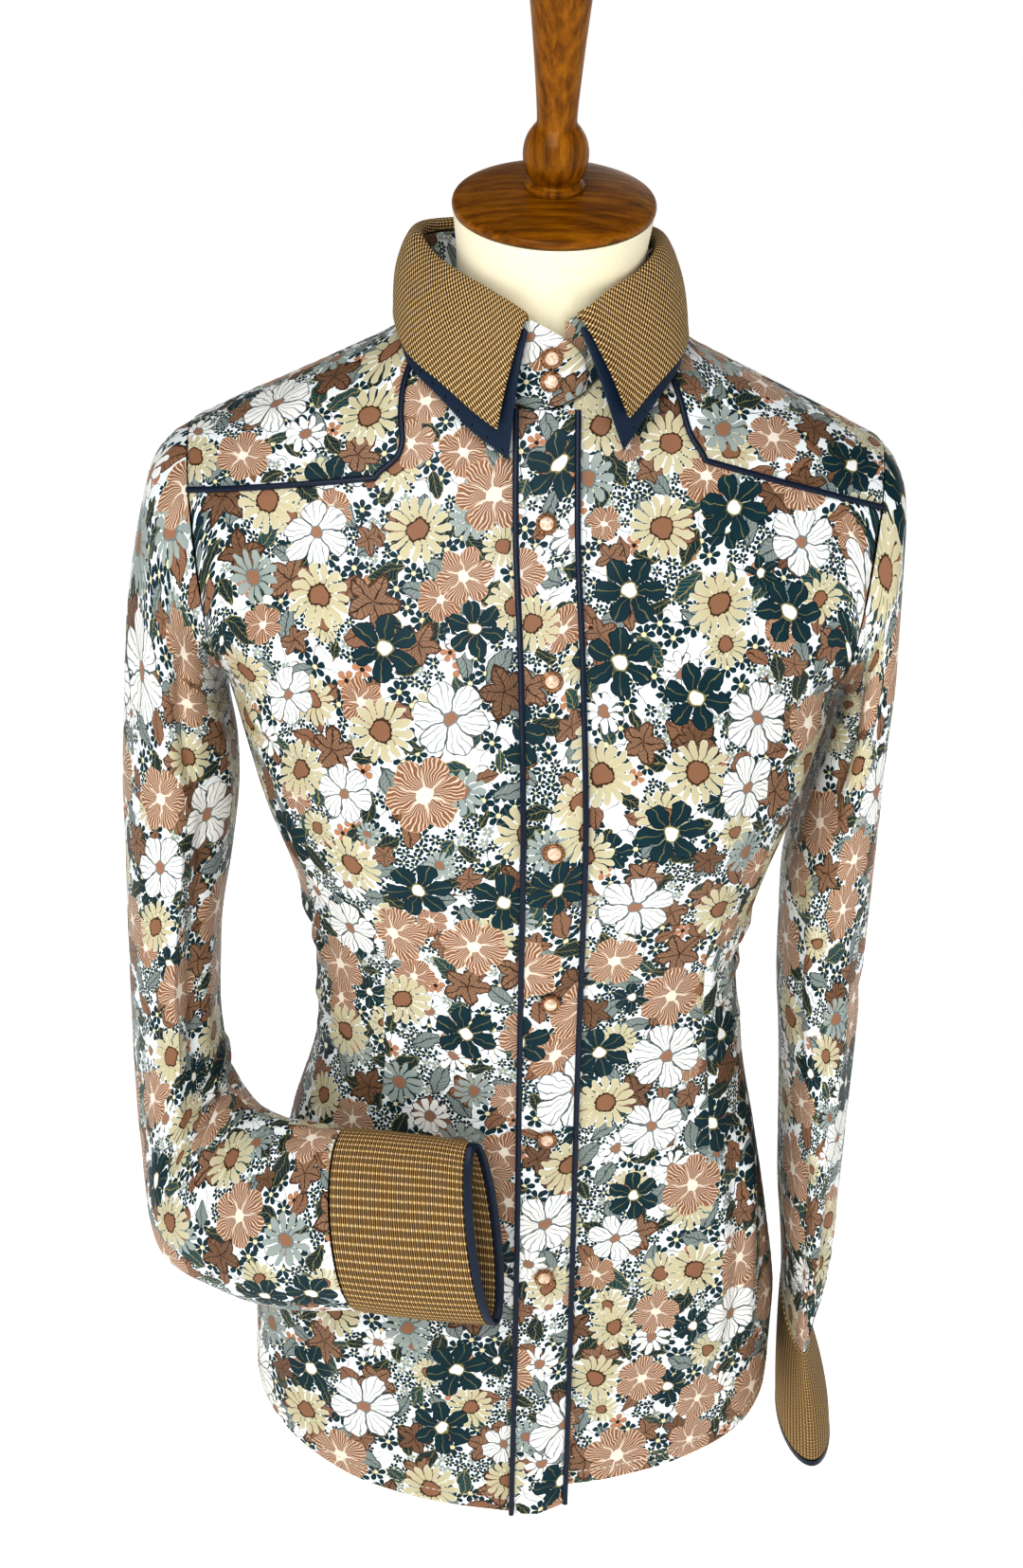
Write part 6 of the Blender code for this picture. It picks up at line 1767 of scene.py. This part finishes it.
class SHIRT_OT_placket(bpy.types.Operator):
    """Make the front band and the navy piping down its edges and along the yokes"""
    bl_idname = "shirt.placket"
    bl_label = "Placket and piping"

    def execute(self, context):
        add_placket()
        for side, name in ((-1, "outer"), (1, "inner")):
            places = placket_line(side * (PLACKET_WIDTH - PIPING_WIDTH) / 2, 220)
            add_piping("placket_piping_" + name, places, PLACKET_LIFT + CLOTH + PIPING_LIFT)
        for side, name in SIDES.items():
            seam = yoke_border(side)[::2]
            seam[0] = seam[0] * 0.75 + seam[SUB // 2] * 0.25
            add_piping("yoke_piping_" + name, seam, SEAM)
        return {"FINISHED"}


class SHIRT_OT_collar(bpy.types.Operator):
    """Make the printed stand, the check collar and the pinked navy undercollar"""
    bl_idname = "shirt.collar"
    bl_label = "Collar"

    def execute(self, context):
        add_stand()
        add_collar()
        add_undercollar()
        return {"FINISHED"}


class SHIRT_OT_snaps(bpy.types.Operator):
    """Set the copper crowns and their pearls on the stand and down the placket"""
    bl_idname = "shirt.snaps"
    bl_label = "Snaps"

    def execute(self, context):
        crown, dome = model_crown(), model_pearl()
        for number, (centre, axis) in enumerate(snap_places(), start=1):
            place = facing(centre, axis)
            settle(copy_at(crown, f"snap_set_{number}", place), "copper_crown", f"snap_{number}")
            settle(copy_at(dome, f"pearl_set_{number}", place), "pearl", f"pearl_{number}")
        for model in (crown, dome):
            bpy.data.objects.remove(model, do_unlink=True)
        return {"FINISHED"}


class SHIRT_OT_stitching(bpy.types.Operator):
    """Sew the visible rows of stitches"""
    bl_idname = "shirt.stitching"
    bl_label = "Stitching"

    def execute(self, context):
        sizes = context.scene.shirt_settings
        hems = [(name, FRONT, front_borders(side)[0]) for side, name in SIDES.items()]
        for name, surface, hem in hems + [("back", BACK, back_borders()[0])]:
            points, normals = surface.raised(hem + (0, HEM_TURNING))
            settle(add_stitches("hem_stitches_" + name, points, normals, thread(), sizes.stitch_length,
                                sizes.stitch_gap), "printed_satin")
        return {"FINISHED"}


class SHIRT_OT_form(bpy.types.Operator):
    """Make the dress form under its jersey, its wooden cap and its finial"""
    bl_idname = "shirt.form"
    bl_label = "Dress form"

    def execute(self, context):
        add_form_body()
        add_cap_and_finial()
        return {"FINISHED"}


class SHIRT_OT_stage(bpy.types.Operator):
    """Lay the pale floor, hang the lights and set up the camera"""
    bl_idname = "shirt.stage"
    bl_label = "Stage"

    def execute(self, context):
        scene, sizes = context.scene, context.scene.shirt_settings
        bpy.ops.object.select_all(action="DESELECT")
        bpy.ops.mesh.primitive_plane_add(size=200.0)
        floor = context.object
        floor.name = "studio_floor"
        floor.data.materials.append(studio_floor())
        world = bpy.data.worlds.new("Pale studio")
        world.use_nodes = True
        tree = world.node_tree
        backdrop = tree.nodes["Background"]
        backdrop.inputs["Strength"].default_value = 1.0
        sky = add_node(tree, "TexCoord").node.outputs["Generated"]
        height = add_node(tree, "SeparateXYZ", sky).node.outputs[2]
        shade = add_node(tree, "MapRange", height, 0.10, 0.45, 0.85, sizes.surroundings)
        tree.links.new(shade, backdrop.inputs["Color"])
        scene.world = world
        for name, place, size, power in (("key_light", KEY_PLACE, 1.1, sizes.key_power),
                                         ("fill_light", FILL_PLACE, 2.0, sizes.fill_power),
                                         ("back_light", BACK_PLACE, 1.4, sizes.fill_power)):
            light = bpy.data.lights.new(name, "AREA")
            light.energy, light.size = power, size
            lamp = bpy.data.objects.new(name, light)
            scene.collection.objects.link(lamp)
            lamp.location = place
            lamp.rotation_euler = (LIT_MIDDLE - Vector(place)).to_track_quat("-Z", "Y").to_euler()
        camera = bpy.data.cameras.new("camera")
        camera.sensor_fit, camera.sensor_height, camera.sensor_width = "VERTICAL", 36, 36
        camera.lens, camera.clip_start = CAMERA_LENS, 0.01
        turn = Matrix.Rotation(math.pi / 2 + CAMERA_PITCH, 4, "X") @ Matrix.Rotation(CAMERA_ROLL, 4, "Z")
        viewer = bpy.data.objects.new("camera", camera)
        viewer.matrix_world = Matrix.Translation(CAMERA_PLACE) @ turn
        scene.collection.objects.link(viewer)
        scene.camera = viewer
        scene.view_settings.view_transform = "Standard"
        scene.view_settings.gamma = 0.75         # a studio's crisp contrast, with clean whites
        return {"FINISHED"}


OPERATORS = (SHIRT_OT_body, SHIRT_OT_sleeves, SHIRT_OT_cuffs, SHIRT_OT_placket, SHIRT_OT_collar,
             SHIRT_OT_snaps, SHIRT_OT_stitching, SHIRT_OT_form, SHIRT_OT_stage)


class SHIRT_PT_panel(bpy.types.Panel):
    """Lists the settings and the steps"""
    bl_label = "Western shirt"
    bl_idname = "SHIRT_PT_panel"
    bl_space_type = "VIEW_3D"
    bl_region_type = "UI"
    bl_category = "Shirt"

    def draw(self, context):
        for name in ShirtSettings.__annotations__:
            self.layout.prop(context.scene.shirt_settings, name)
        for operator in OPERATORS:
            self.layout.operator(operator.bl_idname)


CLASSES = (ShirtSettings, *OPERATORS, SHIRT_PT_panel)


def register():
    """Register the settings, the operators and the panel."""
    for item in CLASSES:
        bpy.utils.register_class(item)
    bpy.types.Scene.shirt_settings = bpy.props.PointerProperty(type=ShirtSettings)


def unregister():
    """Take them out again."""
    del bpy.types.Scene.shirt_settings
    for item in reversed(CLASSES):
        bpy.utils.unregister_class(item)


def main():
    """Make every piece in order."""
    register()
    steps = bpy.ops.shirt
    for step in (steps.stage, steps.form, steps.body, steps.sleeves, steps.cuffs, steps.placket, steps.collar,
                 steps.snaps, steps.stitching):
        step()


if __name__ == "__main__":
    main()
